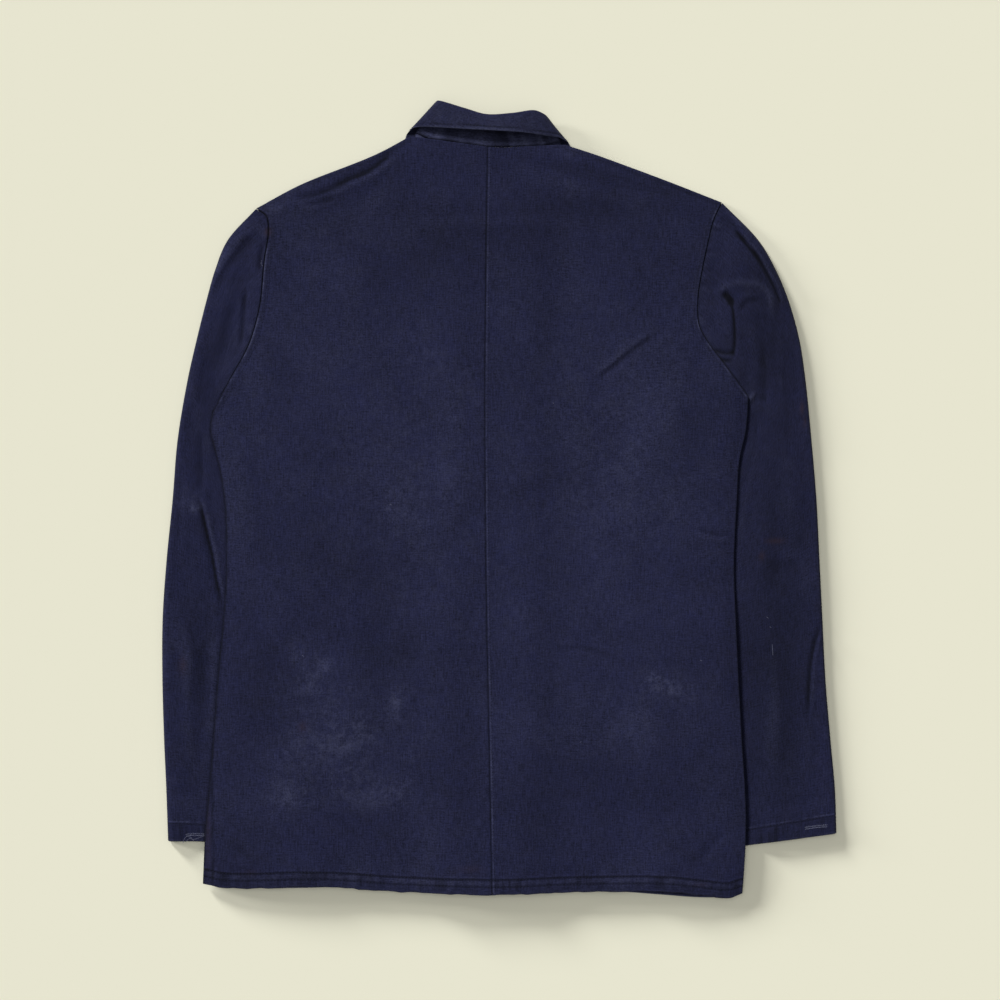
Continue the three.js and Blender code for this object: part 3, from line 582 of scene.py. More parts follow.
# %% A node with its inputs
def add(tree, kind, given=()):
    """One node. A key is an input's name or number, or a property. A value may be an output to link to it."""
    node = tree.nodes.new(kind)
    for key, value in dict(given).items():
        if isinstance(value, bpy.types.NodeSocket):
            tree.links.new(value, node.inputs[key])
        elif isinstance(key, int) or key in node.inputs:
            node.inputs[key].default_value = value
        else:
            setattr(node, key, value)
    return node


def result(tree, kind, given=(), output=0):
    """One output of a new node."""
    return add(tree, kind, given).outputs[output]


def calculated(tree, operation, first, second, clamped=False):
    """The result of a sum with two numbers, each a value or an output."""
    given = {"operation": operation, "use_clamp": clamped, 0: first, 1: second}
    return result(tree, "ShaderNodeMath", given)


# %% The stitch tree
stitch_tree = bpy.data.node_groups.new("row of stitches", "GeometryNodeTree")
stitch_inputs = {
    "Path": "NodeSocketGeometry", "Stitch length": "NodeSocketFloat", "Gap": "NodeSocketFloat",
    "Thread width": "NodeSocketFloat", "Turn": "NodeSocketFloat", "Waver": "NodeSocketFloat",
    "Seed": "NodeSocketInt",
}
for name, kind in stitch_inputs.items():
    stitch_tree.interface.new_socket(name, in_out="INPUT", socket_type=kind)
stitch_tree.interface.new_socket("Stitches", in_out="OUTPUT", socket_type="NodeSocketGeometry")
given = add(stitch_tree, "NodeGroupInput").outputs
path = result(stitch_tree, "GeometryNodeMeshToCurve", {"Mesh": given["Path"]})
pitch = calculated(stitch_tree, "ADD", given["Stitch length"], given["Gap"])
spacing = {"mode": "LENGTH", "Curve": path, "Length": pitch}
steps = add(stitch_tree, "GeometryNodeCurveToPoints", spacing).outputs
aligned = result(stitch_tree, "FunctionNodeAlignRotationToVector", {"axis": "X", "Vector": steps["Tangent"]})
lowest_turn = calculated(stitch_tree, "SUBTRACT", given["Turn"], given["Waver"])
highest_turn = calculated(stitch_tree, "ADD", given["Turn"], given["Waver"])
turn = result(
    stitch_tree, "FunctionNodeRandomValue",
    {"data_type": "FLOAT", 2: lowest_turn, 3: highest_turn, "Seed": given["Seed"]}, 1,
)
turn_about = result(stitch_tree, "ShaderNodeCombineXYZ", {"Z": turn})
turned = result(
    stitch_tree, "FunctionNodeRotateRotation",
    {"rotation_space": "LOCAL", "Rotation": aligned, "Rotate By": turn_about},
)
half_length = calculated(stitch_tree, "MULTIPLY", given["Stitch length"], 0.5)
half_width = calculated(stitch_tree, "MULTIPLY", given["Thread width"], 0.5)
size = result(stitch_tree, "ShaderNodeCombineXYZ", {"X": half_length, "Y": half_width, "Z": half_width})
bead = result(stitch_tree, "GeometryNodeMeshUVSphere", {"Segments": 6, "Rings": 4, "Radius": 1.0})
smooth_bead = result(stitch_tree, "GeometryNodeSetShadeSmooth", {"Geometry": bead})
placed = result(
    stitch_tree, "GeometryNodeInstanceOnPoints",
    {"Points": steps["Points"], "Instance": smooth_bead, "Rotation": turned, "Scale": size},
)
real = result(stitch_tree, "GeometryNodeRealizeInstances", {"Geometry": placed})
add(stitch_tree, "NodeGroupOutput", {0: real})
print("stitch tree:", len(stitch_tree.nodes), "nodes")

# %% [markdown]
# ## The cotton
# The jacket is a plain indigo-like navy cotton twill, washed many times. That leaves a chalky fade where it
# rubs, and a dry, matt surface with hardly any shine. Light and shade are painted into the colour too: the
# darkest navy as painted shade in folds, beside overhanging edges and under the collar's leaf, with darker
# lines at seams and stitches, and a paler navy as painted highlight on ridges and as painted light in broad
# patches. The threads are uneven, which makes faint streaks along the warp, from collar to hem, and the
# weft. They follow the UV map. Thread spacing is half a millimetre, which is finer than the photograph
# shows, so the weave is drawn at about one millimetre.

# %% Colours
def linear(code):
    """A linear colour from an sRGB hex value."""
    parts = [int(code[i : i + 2], 16) / 255 for i in (1, 3, 5)]
    return [v / 12.92 if v <= 0.04045 else ((v + 0.055) / 1.055) ** 2.4 for v in parts] + [1.0]


deep_navy = linear("#101120")
washed_navy = linear("#2a2c48")
deep_blue = linear("#0e1023")
washed_blue = linear("#282b4d")
pale_navy = linear("#676b8c")
darkest_navy = linear("#07080f")
deep_thread = linear("#15172c")
thread_navy = linear("#212440")
undyed_grey = linear("#686b82")
rust_brown = linear("#3a2a2c")
dark_horn = linear("#0f1018")
pale_horn = linear("#34333f")
pale_card = linear("#e7e5d0")

# %% Parts of a material
def new_material(name):
    """A material, and its tree with nothing in it."""
    material = bpy.data.materials.new(name)
    material.use_nodes = True
    material.node_tree.nodes.clear()
    return material, material.node_tree


def noise(tree, place, scale, detail, roughness=0.5, distortion=0.0):
    """Noise from 0 to 1."""
    return result(tree, "ShaderNodeTexNoise", {
        "Vector": place, "Scale": scale, "Detail": detail, "Roughness": roughness, "Distortion": distortion,
    }, "Fac")


def stretched(tree, place, scale, turn=0.0):
    """The same places at another scale, turned about Z."""
    return result(tree, "ShaderNodeMapping", {"Vector": place, "Rotation": (0, 0, turn), "Scale": scale})


def weighted(tree, base, terms):
    """base plus each output times its weight."""
    total = base
    for source, weight in terms:
        given = {"operation": "MULTIPLY_ADD", 0: source, 1: weight, 2: total}
        total = result(tree, "ShaderNodeMath", given)
    return total


def mixed(tree, share, first, second):
    """A colour between two, at a share from 0 to 1."""
    return result(tree, "ShaderNodeMix", {"data_type": "RGBA", 0: share, 6: first, 7: second}, 2)


def surfaced(tree, colour, bump_strength, bump_distance, bump_height, more):
    """End a tree in one rough surface with a bump."""
    bump = {"Strength": bump_strength, "Distance": bump_distance, "Height": bump_height}
    given = {"Base Color": colour, "Normal": result(tree, "ShaderNodeBump", bump), **more}
    surface = result(tree, "ShaderNodeBsdfPrincipled", given)
    add(tree, "ShaderNodeOutputMaterial", {"Surface": surface})


# %% Cotton twill
cotton, tree = new_material("washed navy cotton twill")
thread_spacing = 0.0010  # drawn twice as coarse as the real half millimetre
warp_streak = (0.0012, 0.013)  # width and length of a streak along the warp
weft_streak = (0.009, 0.0011)
on_cloth = result(tree, "ShaderNodeUVMap", {"uv_map": "cloth"})
on_object = result(tree, "ShaderNodeTexCoord", output="Object")
marks = {
    name: result(tree, "ShaderNodeAttribute", {"attribute_name": name}, "Fac")
    for name in ("worn", "faded", "soiled", "sunk")
}
warp_place = stretched(tree, on_cloth, (1 / warp_streak[0], 1 / warp_streak[1], 1))
warp = noise(tree, warp_place, 1.0, 3.0, 0.6)
weft_place = stretched(tree, on_cloth, (1 / weft_streak[0], 1 / weft_streak[1], 1))
weft = noise(tree, weft_place, 1.0, 3.0, 0.6)
grain = noise(tree, on_cloth, 560.0, 3.0, 0.8)
mottle = noise(tree, on_object, 16.0, 5.0, 0.62)
broad = noise(tree, on_object, 4.2, 2.0, 0.5)

# %% Twill lines
twill_slant = math.radians(32)
twill = result(tree, "ShaderNodeTexWave", {
    "wave_type": "BANDS", "bands_direction": "X", "Scale": 0.31, "Distortion": 1.2, "Detail": 1.0,
    "Detail Scale": 1.5,
    "Vector": stretched(tree, on_cloth, (1 / thread_spacing, 1 / thread_spacing, 1), twill_slant),
}, "Fac")
lightness = weighted(tree, -1.86, [
    (warp, 1.3), (weft, 1.0), (grain, 1.6), (mottle, 0.45), (broad, 0.2), (twill, 0.14),
])
dyed = mixed(tree, lightness, deep_navy, washed_navy)
bluer = mixed(tree, lightness, deep_blue, washed_blue)
hue_noise = noise(tree, on_object, 60.0, 7.0, 0.85)
hue_share = weighted(tree, -1.6, [(hue_noise, 3.0), (grain, 1.2)])
two_hues = mixed(tree, hue_share, dyed, bluer)

# %% Fade, wear, stains, painted light and painted shade
streaks = noise(tree, on_object, 140.0, 7.0, 0.78, 0.7)
patches = noise(tree, on_object, 26.0, 5.0, 0.6, 0.6)
# The fade mark is faded cloth and, in broad patches, painted light. It is broken into streaks.
rubbed = weighted(tree, -2.95, [(streaks, 3.5), (patches, 1.5), (grain, 1.0), (marks["faded"], 0.6)])
rub_share = result(tree, "ShaderNodeMapRange", {
    "Value": rubbed, "From Min": 0.0, "From Max": 1.2, "To Min": 0.07, "To Max": 0.8,
})
fade_and_light_here = calculated(tree, "MULTIPLY", rub_share, marks["faded"], clamped=True)
# The wear mark is worn edges and seams, and painted highlight on the ridges of folds, on the hem's puckers
# and on the collar's stand.
wear_and_highlight_breakup = weighted(tree, -1.35, [(marks["worn"], 0.7), (grain, 1.3), (weft, 0.8), (streaks, 1.0)])
wear_and_highlight_here = calculated(tree, "MULTIPLY", wear_and_highlight_breakup, marks["worn"], clamped=True)
faded_and_lit_cloth = mixed(tree, fade_and_light_here, two_hues, pale_navy)
wear_and_highlight_cloth = mixed(tree, wear_and_highlight_here, faded_and_lit_cloth, pale_navy)
soiled_cloth = mixed(tree, marks["soiled"], wear_and_highlight_cloth, rust_brown)
# Painted shade: the darkest navy where the dark mark is high, in folds, beside overhanging edges and under
# the collar's leaf. Seams and rows of stitches get darker lines of it too.
painted_shade_cloth = mixed(tree, marks["sunk"], soiled_cloth, darkest_navy)

# %% Thread relief
relief = weighted(tree, 0.0, [(twill, 0.30), (grain, 0.5), (warp, 0.5), (weft, 0.4)])
surfaced(tree, painted_shade_cloth, 0.6, 0.0004, relief, {
    "Roughness": 0.92, "Specular IOR Level": 0.12, "IOR": 1.45, "Sheen Weight": 0.04, "Sheen Roughness": 0.5,
})
print("cotton twill:", len(tree.nodes), "nodes")

# %% [markdown]
# ## Thread and buttons
# The sewing thread is cotton too, a shade lighter than the cloth because it took the dye less. The
# buttonholes are sewn in undyed cotton that has gone grey. The buttons are cast polyester, dark, with the
# soft gloss and faint grain of imitation horn.

# %% Thread
thread, tree = new_material("navy cotton thread")
on_object = result(tree, "ShaderNodeTexCoord", output="Object")
twist = noise(tree, on_object, 900.0, 2.0)
uneven = noise(tree, on_object, 22.0, 2.0)
thread_colour = mixed(tree, weighted(tree, -0.6, [(twist, 1.0), (uneven, 1.2)]), deep_thread, thread_navy)
surfaced(tree, thread_colour, 0.4, 0.0002, twist, {"Roughness": 0.8, "Specular IOR Level": 0.2})

# %% Plain materials
def plain_material(name, colour, roughness):
    """A material of one colour, and its surface node."""
    material = bpy.data.materials.new(name)
    material.use_nodes = True
    surface = material.node_tree.nodes["Principled BSDF"]
    surface.inputs["Base Color"].default_value = colour
    surface.inputs["Roughness"].default_value = roughness
    return material, surface


undyed, _ = plain_material("undyed cotton thread", undyed_grey, 0.9)

# %% Imitation horn
horn, tree = new_material("cast polyester horn")
on_object = result(tree, "ShaderNodeTexCoord", output="Object")
horn_grain = noise(tree, stretched(tree, on_object, (900, 160, 400)), 1.0, 4.0, 0.5, 0.8)
horn_colour = mixed(tree, horn_grain, dark_horn, pale_horn)
surfaced(tree, horn_colour, 0.15, 0.0001, horn_grain, {"Roughness": 0.38, "IOR": 1.54})
for name, node in frame["nodes"].items():
    if name.startswith("button"):
        node.data.materials.clear()
        node.data.materials.append(horn)
print("materials:", cotton.name, "-", thread.name, "-", horn.name)

# %% [markdown]
# ## Where the cloth is faded, worn and soiled, and where light and shade are painted
# The photograph shows two pale patches low on the back, a few rust marks and a paler elbow. Broad paler
# patches on the middle of the back are painted light, and the darker patches are painted shade. Each is a row
# with its middle on the photograph, its size and its strength. They are stored on the points of the cloth,
# and the material breaks them up into streaks of its own.

# %% Patches
faded_and_painted_light_patches = [
    ((322, 700), 50, 36, 0.15), ((300, 652), 14, 16, 0.20), ((325, 664), 9, 10, 0.34),
    ((396, 700), 9, 17, 0.30), ((345, 740), 44, 28, 0.30), ((291, 796), 22, 14, 0.40),
    ((372, 800), 42, 13, 0.20), ((296, 752), 24, 22, 0.13), ((400, 788), 14, 8, 0.24),
    ((352, 780), 40, 20, 0.20), ((310, 682), 9, 14, 0.22), ((420, 740), 22, 30, 0.10),
    ((660, 682), 20, 17, 0.24), ((652, 675), 9, 7, 0.20), ((666, 690), 16, 8, 0.20),
    ((640, 716), 16, 20, 0.16), ((690, 700), 22, 20, 0.12), ((590, 740), 60, 24, 0.06),
    ((195, 507), 8, 7, 0.46), ((188, 500), 12, 16, 0.22), ((388, 508), 5, 4, 0.2),
    # The first three rows below are broad painted light on the middle of the back.
    ((620, 450), 110, 170, 0.14), ((400, 450), 120, 170, 0.14), ((500, 640), 150, 80, 0.05),
    ((470, 880), 14, 5, 0.12), ((250, 410), 26, 60, 0.12), ((352, 235), 60, 16, 0.08),
]
# Painted shade: broad darker patches over the folds of the shoulders and the upper back, and along the
# sleeves.
painted_shade_patches = [
    ((778, 640), 44, 210, 0.40), ((770, 300), 44, 90, 0.36), ((190, 640), 30, 200, 0.10),
    ((640, 205), 90, 18, 0.16), ((330, 215), 60, 22, 0.12), ((262, 690), 20, 30, 0.14),
    ((400, 655), 30, 14, 0.16), ((268, 660), 22, 18, 0.14), ((440, 250), 60, 40, 0.12),
    ((235, 860), 26, 40, 0.12), ((560, 220), 70, 26, 0.08), ((700, 250), 16, 60, 0.10),
    ((610, 780), 90, 50, 0.08), ((300, 560), 40, 30, 0.08), ((690, 430), 30, 70, 0.06),
    ((490, 225), 220, 60, 0.10),
]
soiled_patches = [
    ((802, 408), 2, 6, 0.4), ((805, 422), 1.5, 5, 0.3), ((775, 541), 9, 2.5, 0.5), ((762, 556), 3, 4, 0.4),
    ((183, 665), 4, 8, 0.25), ((303, 726), 4, 5, 0.25), ((470, 868), 12, 3, 0.14), ((250, 872), 8, 3, 0.12),
    ((268, 232), 3, 4, 0.5), ((208, 840), 3, 34, 0.2), ((700, 884), 8, 2, 0.14),
]


def patches_at(rows, x, y):
    """Sum of the soft patches at each place."""
    total = np.zeros(np.shape(x))
    for middle, half_wide, half_high, strength in rows:
        cx, cy = on_photo(middle)[0]
        total = total + strength * np.exp(-(((x - cx) / half_wide) ** 2) - ((y - cy) / half_high) ** 2)
    return np.clip(total, 0, 1)


def marked(x, y, worn, sunk, darkest):
    """All four marks of a piece: wear with painted highlight, fade with painted light, soil, and painted
    shade with dark seams, with the patches that the photograph shows on it.
    """
    return {
        "worn": np.clip(worn, 0, 1),
        "faded": patches_at(faded_and_painted_light_patches, x, y),
        "soiled": patches_at(soiled_patches, x, y),
        "sunk": np.clip(sunk, 0, darkest),
    }


print("patches:", len(faded_and_painted_light_patches), "faded,", len(soiled_patches), "soiled")

# %% [markdown]
# ## The back
# The back is cut in two halves that are sewn down the centre. Each half is a sheet between four edges: the
# hem, the centre seam, the side seam with the armhole, and the neck with the shoulder. A grid is blended
# between those edges, closer together where an edge is turned or sewn, and each point is laid at the height
# that the layers under it give.

# %% Blend a grid between four edges
def blended(bottom, top, first, second, share, v):
    """Places between a bottom and a top edge, and a first and a second side."""
    s, w = share[..., None], v[:, None, None]
    places = bottom[None] * (1 - w) + top[None] * w + first[:, None] * (1 - s) + second[:, None] * s
    places = places - bottom[None, :1] * (1 - s) * (1 - w) - bottom[None, -1:] * s * (1 - w)
    return places - top[None, :1] * (1 - s) * w - top[None, -1:] * s * w


panel_width, panel_length = 285, 765  # of half a back or front
armpit_stop = 0.64  # share of a panel's height at which its side ends in the armpit
neck_stop = 0.34  # share of its width at which the neck ends and the shoulder starts
edge_steps = np.array([0, 0.3, 0.8, 1.5, 2.4, 3.6, 5])  # mm from an open edge
hem_rows_to = 21  # the turned hem gets closer rows up to here
hem_spacing = 1.1  # mm between those rows
rows_above = 0.46  # of the side seam's length, for the rows above the armpit
columns_beyond = 0.72  # of a panel's width, for the columns under the shoulder


def panel_grid(kind, hand, spacing):
    """The grid of a back or a front, with the shares u across it and v up it."""
    sign = hands[hand]
    per_mm = armpit_stop / side_length
    v = np.concatenate([
        edge_steps[:-1] * per_mm,
        np.arange(edge_steps[-1], hem_rows_to, hem_spacing) * per_mm,
        np.linspace(hem_rows_to * per_mm, armpit_stop, int(side_length / spacing)),
        np.linspace(armpit_stop, 1 - 4 * per_mm, int(rows_above * side_length / spacing))[1:],
        1 - edge_steps[3::-1] * per_mm,
    ])
    last_step = edge_steps[-1] / panel_width
    u = np.concatenate([
        edge_steps[:-1] / panel_width,
        np.linspace(last_step, neck_stop, int(neck_stop * panel_width / spacing)),
        np.linspace(neck_stop, 1 - last_step, int(columns_beyond * panel_width / spacing))[1:],
        1 - edge_steps[-2::-1] / panel_width,
    ])
    bottom = along(hem[hand], u)
    hole = armhole if kind == "back" else front_armhole
    up_side = along(side[hand], v[v < armpit_stop] / armpit_stop)
    up_hole = along(hole[hand], (v[v >= armpit_stop] - armpit_stop) / (1 - armpit_stop))
    on_neck = u[u < neck_stop] / neck_stop
    on_shoulder = along(shoulder[hand], (u[u >= neck_stop] - neck_stop) / (1 - neck_stop))
    if kind == "back":
        shift = sign * sewn_gap / 2
        bottom[:, 0] += (1 - u) * shift
        first = along(seam, v) + [shift, 0]
        neck = along(back_neck[hand], on_neck)
        neck[:, 0] += (1 - on_neck) * shift
    else:
        edge_x = centre_front - sign * underlap
        bottom[:, 0] += (1 - u) * (edge_x - bottom[:, 0])
        first = np.stack([np.full(len(v), edge_x), hem_y + (front_neck_y - hem_y) * v], -1)
        neck = along(front_neck[hand], 1 - on_neck)
    share = np.broadcast_to(u**2.5, (len(v), len(u)))
    second = np.vstack([up_side, up_hole])
    return blended(bottom, np.vstack([neck, on_shoulder]), first, second, share, v), u, v


def open_edge_at(v, beside_edge):
    """Distance to the nearest edge of a panel, given the one to its sides."""
    return np.minimum(np.minimum(v[:, None], (1 - v)[:, None]) * panel_length, beside_edge)


def from_hem_at(hand, x, y):
    """Distance to the hem of one half."""
    return distance_to_line(along(hem[hand], np.linspace(0, 1, 40)), x, y)


# %% The relief of the back
back_hem_stitches = (8, 15)  # mm from the hem
side_seam = smooth_line(on_photo((212.2, 770), (212.6, 786), (212.9, 820), (213, 850), (213.2, 884)), 6)


def back_relief(x, y, from_hem, from_seam, from_edge):
    """Height of the folds, seams and puckers of the back, in mm."""
    height = washed(x, y, 11) + folds_at(back_folds, x, y)
    # The centre seam is a groove at the join, with the pressed edge of the right half and small puckers.
    height = height - 0.45 * bell(from_seam, 1.0) + 0.3 * bell(from_seam, 1.6, 2.4)
    height = height + 0.16 * (swell(x, y, (40, 7), 21) * bell(from_seam, 9))
    # Armholes and shoulders pull the cloth into short tucks.
    height = height + 0.3 * swell(x, y, (5, 7), 25) * bell(from_edge, 8)
    height = height + 0.25 * bell(from_edge, 2.2, 3) - 0.2 * bell(from_edge, 1.2, 7)
    # Above the hem, the cloth is drawn in by the stitches, and the hem itself ropes.
    height = height + 0.2 * swell(x, y, (8, 30), 31) * bell(from_hem, 8, 21)
    in_hem = smoothstep(from_hem, 0, 2) * (1 - smoothstep(from_hem, 13.5, 16))
    roping = np.sin(2 * math.pi * (x / 8.3 + from_hem / 13 + 0.7 * swell(x, y, 30, 33)))
    height = height + (0.16 * roping + 0.3 * swell(x, y, (4.2, 7), 35)) * in_hem
    distance, _, share = beside(side_seam, x, y)
    return height - 0.35 * bell(distance, 1.1) * smoothstep(share, 0, 0.15)


def hem_thickness(distance, stitch_rows, depth):
    """How much thicker cloth is at a distance from its turned edge, with its rows of stitches pressed in."""
    extra = 1 - smoothstep(distance, depth - 1, depth + 1)
    for row in stitch_rows:
        extra = extra * (1 - 0.6 * bell(distance, 1.0, row))
    return hem_extra * extra


def back_height_at(x, y, relief):
    """Middle of the back. Its folds can't press it all the way down onto the fronts."""
    level, room = back_level(x, y)
    return level + np.maximum(room + relief, 0.12 * room)


def relief_at(hand, x, y):
    """The relief of one half of the back, anywhere on it."""
    from_hem = from_hem_at(hand, x, y)
    from_seam_line, seam_side, _ = beside(along(seam, np.linspace(0, 1, 30)), x, y)
    from_seam = -from_seam_line * seam_side
    from_hole = distance_to_line(armhole[hand][::4], x, y)
    edges = np.minimum(from_hole, distance_to_line(shoulder[hand][::6], x, y))
    return back_relief(x, y, from_hem, from_seam, edges), from_hem, from_seam, edges


# %% The back's wear, fade, soil, painted shade and painted highlight
def back_marks(hand, x, y, v, side_edge, relief_here, from_hem, from_seam, from_armhole):
    """How much wear, fade, soil, painted shade and painted highlight each place of the back has."""
    # The ridges of the folds are painted lighter, a painted highlight. The hem, the centre seam and the
    # armholes are worn lighter.
    worn = 0.2 * np.clip(relief_here, 0, 1)
    worn = worn + 0.12 * bell(from_hem, 2.2, 11.5) + 0.12 * bell(from_hem, 2)
    worn = worn + 0.3 * bell(from_seam, 0.7, 1.5) * (0.6 + 0.6 * swell(x, y, (9, 14), 41))
    broken = smoothstep(swell(x, y, (13, 11), 43) + 0.4 * swell(x, y, 4, 45), -0.2, 0.6)
    worn = worn + 0.5 * bell(side_edge, 0.9, 1.5) * broken * (v[:, None] > armpit_stop)
    # Painted shade: darker in the folds, in broad patches and at the side edges where the back lies over the
    # sleeves, more on the left. The centre seam, the hem's rows of stitches, the armholes and the side seam
    # are darker lines.
    sunk = 0.55 * bell(from_seam, 0.8, -0.2) + 0.85 * bell(from_hem, 0.9, 15.2)
    sunk = sunk + 0.6 * bell(from_hem, 0.8, back_hem_stitches[0]) + painted_fold_shade(folds_at(back_folds, x, y))
    sunk = sunk + patches_at(painted_shade_patches, x, y) + 0.3 * bell(from_armhole, 0.8, 3.4)
    sunk = sunk + (0.8 if hand == "left" else 0.4) * bell(side_edge, 1.1) * (1 - 0.3 * broken)
    from_side_seam, _, along_side_seam = beside(side_seam, x, y)
    sunk = sunk + 0.6 * bell(from_side_seam, 0.9) * smoothstep(along_side_seam, 0, 0.1)
    # The hem's puckers are painted, with painted shade on one side of each and painted highlight on the
    # other.
    painted_pucker_shading = swell(x, y, (3.4, 12), 47) * smoothstep(from_hem, 1, 4) * (1 - smoothstep(from_hem, 14, 16))
    sunk = sunk + 0.08 * (from_hem < 16) + 0.4 * np.clip(painted_pucker_shading, 0, 1)
    return marked(x, y, worn + 0.1 * np.clip(-painted_pucker_shading, 0, 1), sunk, 0.85)


# %% Make the two halves of the back
back_spacing = 2.55  # mm between the points of its grid
back_pieces = {}
for hand in hands:
    places, u, v = panel_grid("back", hand, back_spacing)
    x, y = places[..., 0], places[..., 1]
    y = y + 0.6 * swell(x, 0, (7, 1), 61) * bell(v[:, None] * panel_length, 7)  # the drawn-in hem wavers
    measured = relief_at(hand, x, y)
    side_edge = (1 - u)[None, :] * panel_width
    round_here = rounding(np.broadcast_to(open_edge_at(v, side_edge), x.shape))
    half = cloth / 2 * round_here
    above = half + hem_thickness(measured[1], back_hem_stitches, hem_depth) * round_here
    middle = np.stack([x, y, back_height_at(x, y, measured[0])], -1)
    marks_here = back_marks(hand, x, y, v, side_edge, *measured)
    back_pieces[hand] = wall(f"back_half_{hand}", middle, up, above, half, places, marks_here)

# %% [markdown]
# ## The fronts and the hip pockets
# The fronts lie hidden between the back and the surface, and the left one laps over the right. They carry
# a patch pocket each. They are made as the back is, but plainer and with a coarser grid, since only their
# undersides can be seen when the jacket is picked up.

# %% The fronts
front_spacing = 4.2  # mm between the points of their grids
front_pieces = {}


def front_surface(hand, x, y):
    """Middle of a front, with the little of the back's room that it takes."""
    _, room = back_level(x, y)
    return front_height(hand, x, y) + 0.07 * room * (1 + swell(x, y, 46, 51))


for hand in hands:
    places, u, v = panel_grid("front", hand, front_spacing)
    x, y = places[..., 0], places[..., 1]
    open_edge = open_edge_at(v, np.minimum(u, 1 - u)[None, :] * panel_width)
    marks_here = {
        "worn": np.clip(0.8 * bell(open_edge, 1.6) * np.ones(x.shape), 0, 1),
        "faded": 0.12 * np.ones(x.shape),
        "soiled": np.zeros(x.shape),
        "sunk": 0.5 * bell(from_hem_at(hand, x, y), 0.9, 15.6),
    }
    half = cloth / 2 * rounding(np.broadcast_to(open_edge, x.shape))
    middle = np.stack([x, y, front_surface(hand, x, y)], -1)
    front_pieces[hand] = wall(f"front_half_{hand}", middle, up, half, half, places, marks_here)

# %% The hip pockets
pocket_hem = 22  # mm from the top of a pocket to the row that holds its hem
pocket_pieces = {}


def close_at_edges(length, count):
    """Shares of a length, closer together at both of its ends."""
    steps = edge_steps / length
    return np.concatenate([steps[:-1], np.linspace(steps[-1], 1 - steps[-1], count), 1 - steps[-2::-1]])


def pocket_corners(hand):
    """The inner and outer side of a pocket, and its bottom and top."""
    return pocket[hand][0][0], pocket[hand][1][0], pocket[hand][2][1], pocket[hand][0][1]


def pocket_surface(hand, x, y):
    """Middle of a hip pocket, which lies under its front."""
    return front_height(hand, x, y) - layer - air


for hand in hands:
    near, far, low, high = pocket_corners(hand)
    share_x, share_y = close_at_edges(pocket_width, 40), close_at_edges(pocket_height, 48)
    x, y = np.meshgrid(near + (far - near) * share_x, low + (high - low) * share_y)
    edge_x = np.minimum(share_x, 1 - share_x) * pocket_width
    edge_y = np.minimum(share_y, 1 - share_y) * pocket_height
    open_edge = np.minimum(edge_x[None, :], edge_y[:, None])
    half = cloth / 2 * rounding(open_edge)
    marks_here = {
        "worn": np.clip(0.9 * bell(open_edge, 1.8), 0, 1),
        "faded": 0.15 + 0.2 * bell(high - y, 12),
        "soiled": np.zeros(x.shape),
        "sunk": 0.4 * bell(high - y, 0.9, pocket_hem),
    }
    middle = np.stack([x, y, pocket_surface(hand, x, y)], -1)
    places = np.stack([x, y], -1)
    pocket_pieces[hand] = wall(f"hip_pocket_patch_{hand}", middle, up, half, half, places, marks_here)

# %% [markdown]
# ## The sleeves
# A sleeve is a tube that lies flat. Each of its rings goes across the top, round the inner fold, back
# underneath and round the outer fold. The top fills out where the body doesn't press on it, and rises to
# meet the back along the armhole. The grid is closer at the folds, so that they look round. The under
# layer's rows would cross beside the armpit, so they are eased apart first.

# %% The grid of a sleeve
fold_level = cloth / 2 + fold_radius  # of the middle of the folds, above the surface
inset = fold_radius + cloth / 2  # from the outline of a sleeve to where its flat cloth starts to turn
fold_turn = np.radians([60, 30, 0, -30, -60])
fold_steps = np.linspace(-1, 1, 5)
under_steps = np.array([0, 1.2, 2.6, 4.2, 6, 8, 10.5, 13.5, 17, 21, 26, 32, 40])  # mm from the inner fold
far_under_steps = 18
far_away = 99.0  # stands for the distance from the outer fold where a ring has left the top
sleeve_columns = 92
sleeve_rows = 290  # and columns, in the even parts of the grid
cuff_steps = [  # mm from the end of the sleeve to its last rows
    24, 22.6, 21.4, 20.4, 19.7, 19, 18.3, 17.4, 16, 14, 12, 10, 8, 6, 4.5, 3.2, 2.2, 1.4, 0.7, 0.25, 0,
]
eased_rows = 130  # from the armhole down
easing_rounds = 3000


def sleeve_grid(hand, hole, v):
    """Close points across a flattened sleeve, from its outer to its inner fold, for each row."""
    u = np.linspace(0, 1, 141)
    line = along(hole[hand], 1 - u)
    ahead = along(hole[hand], np.clip(1 - u + 0.004, 0, 1))
    behind = along(hole[hand], np.clip(1 - u - 0.004, 0, 1))
    tangent = (ahead - behind) / np.linalg.norm(ahead - behind, axis=1)[:, None]
    start = line + hands[hand] * sewn_gap * np.stack([tangent[:, 1], -tangent[:, 0]], -1)
    end = np.array(cuff_outer[hand]) + u[:, None] * (np.array(cuff_inner[hand]) - np.array(cuff_outer[hand]))
    share = u[None, :] ** (1 + 25 * (1 - v[:, None]) ** 6)
    return blended(start, end, along(outer[hand], v), along(inner[hand], v), share, v)


def eased_apart(places):
    """The same grid, with its first rows eased apart until hardly one crosses the next."""
    p = places[:eased_rows]
    for _ in range(easing_rounds):
        across_step = (p[1:-1, 2:] - p[1:-1, :-2]) / 2
        down_step = (p[2:, 1:-1] - p[:-2, 1:-1]) / 2
        wide = (across_step**2).sum(-1, keepdims=True)
        long = (down_step**2).sum(-1, keepdims=True)
        both = (across_step * down_step).sum(-1, keepdims=True)
        corners = p[2:, 2:] - p[:-2, 2:] - p[2:, :-2] + p[:-2, :-2]
        sides, ends = p[1:-1, 2:] + p[1:-1, :-2], p[2:, 1:-1] + p[:-2, 1:-1]
        p[1:-1, 1:-1] = (long * sides + wide * ends - 0.5 * both * corners) / (2 * (long + wide) + 1e-9)
    return places


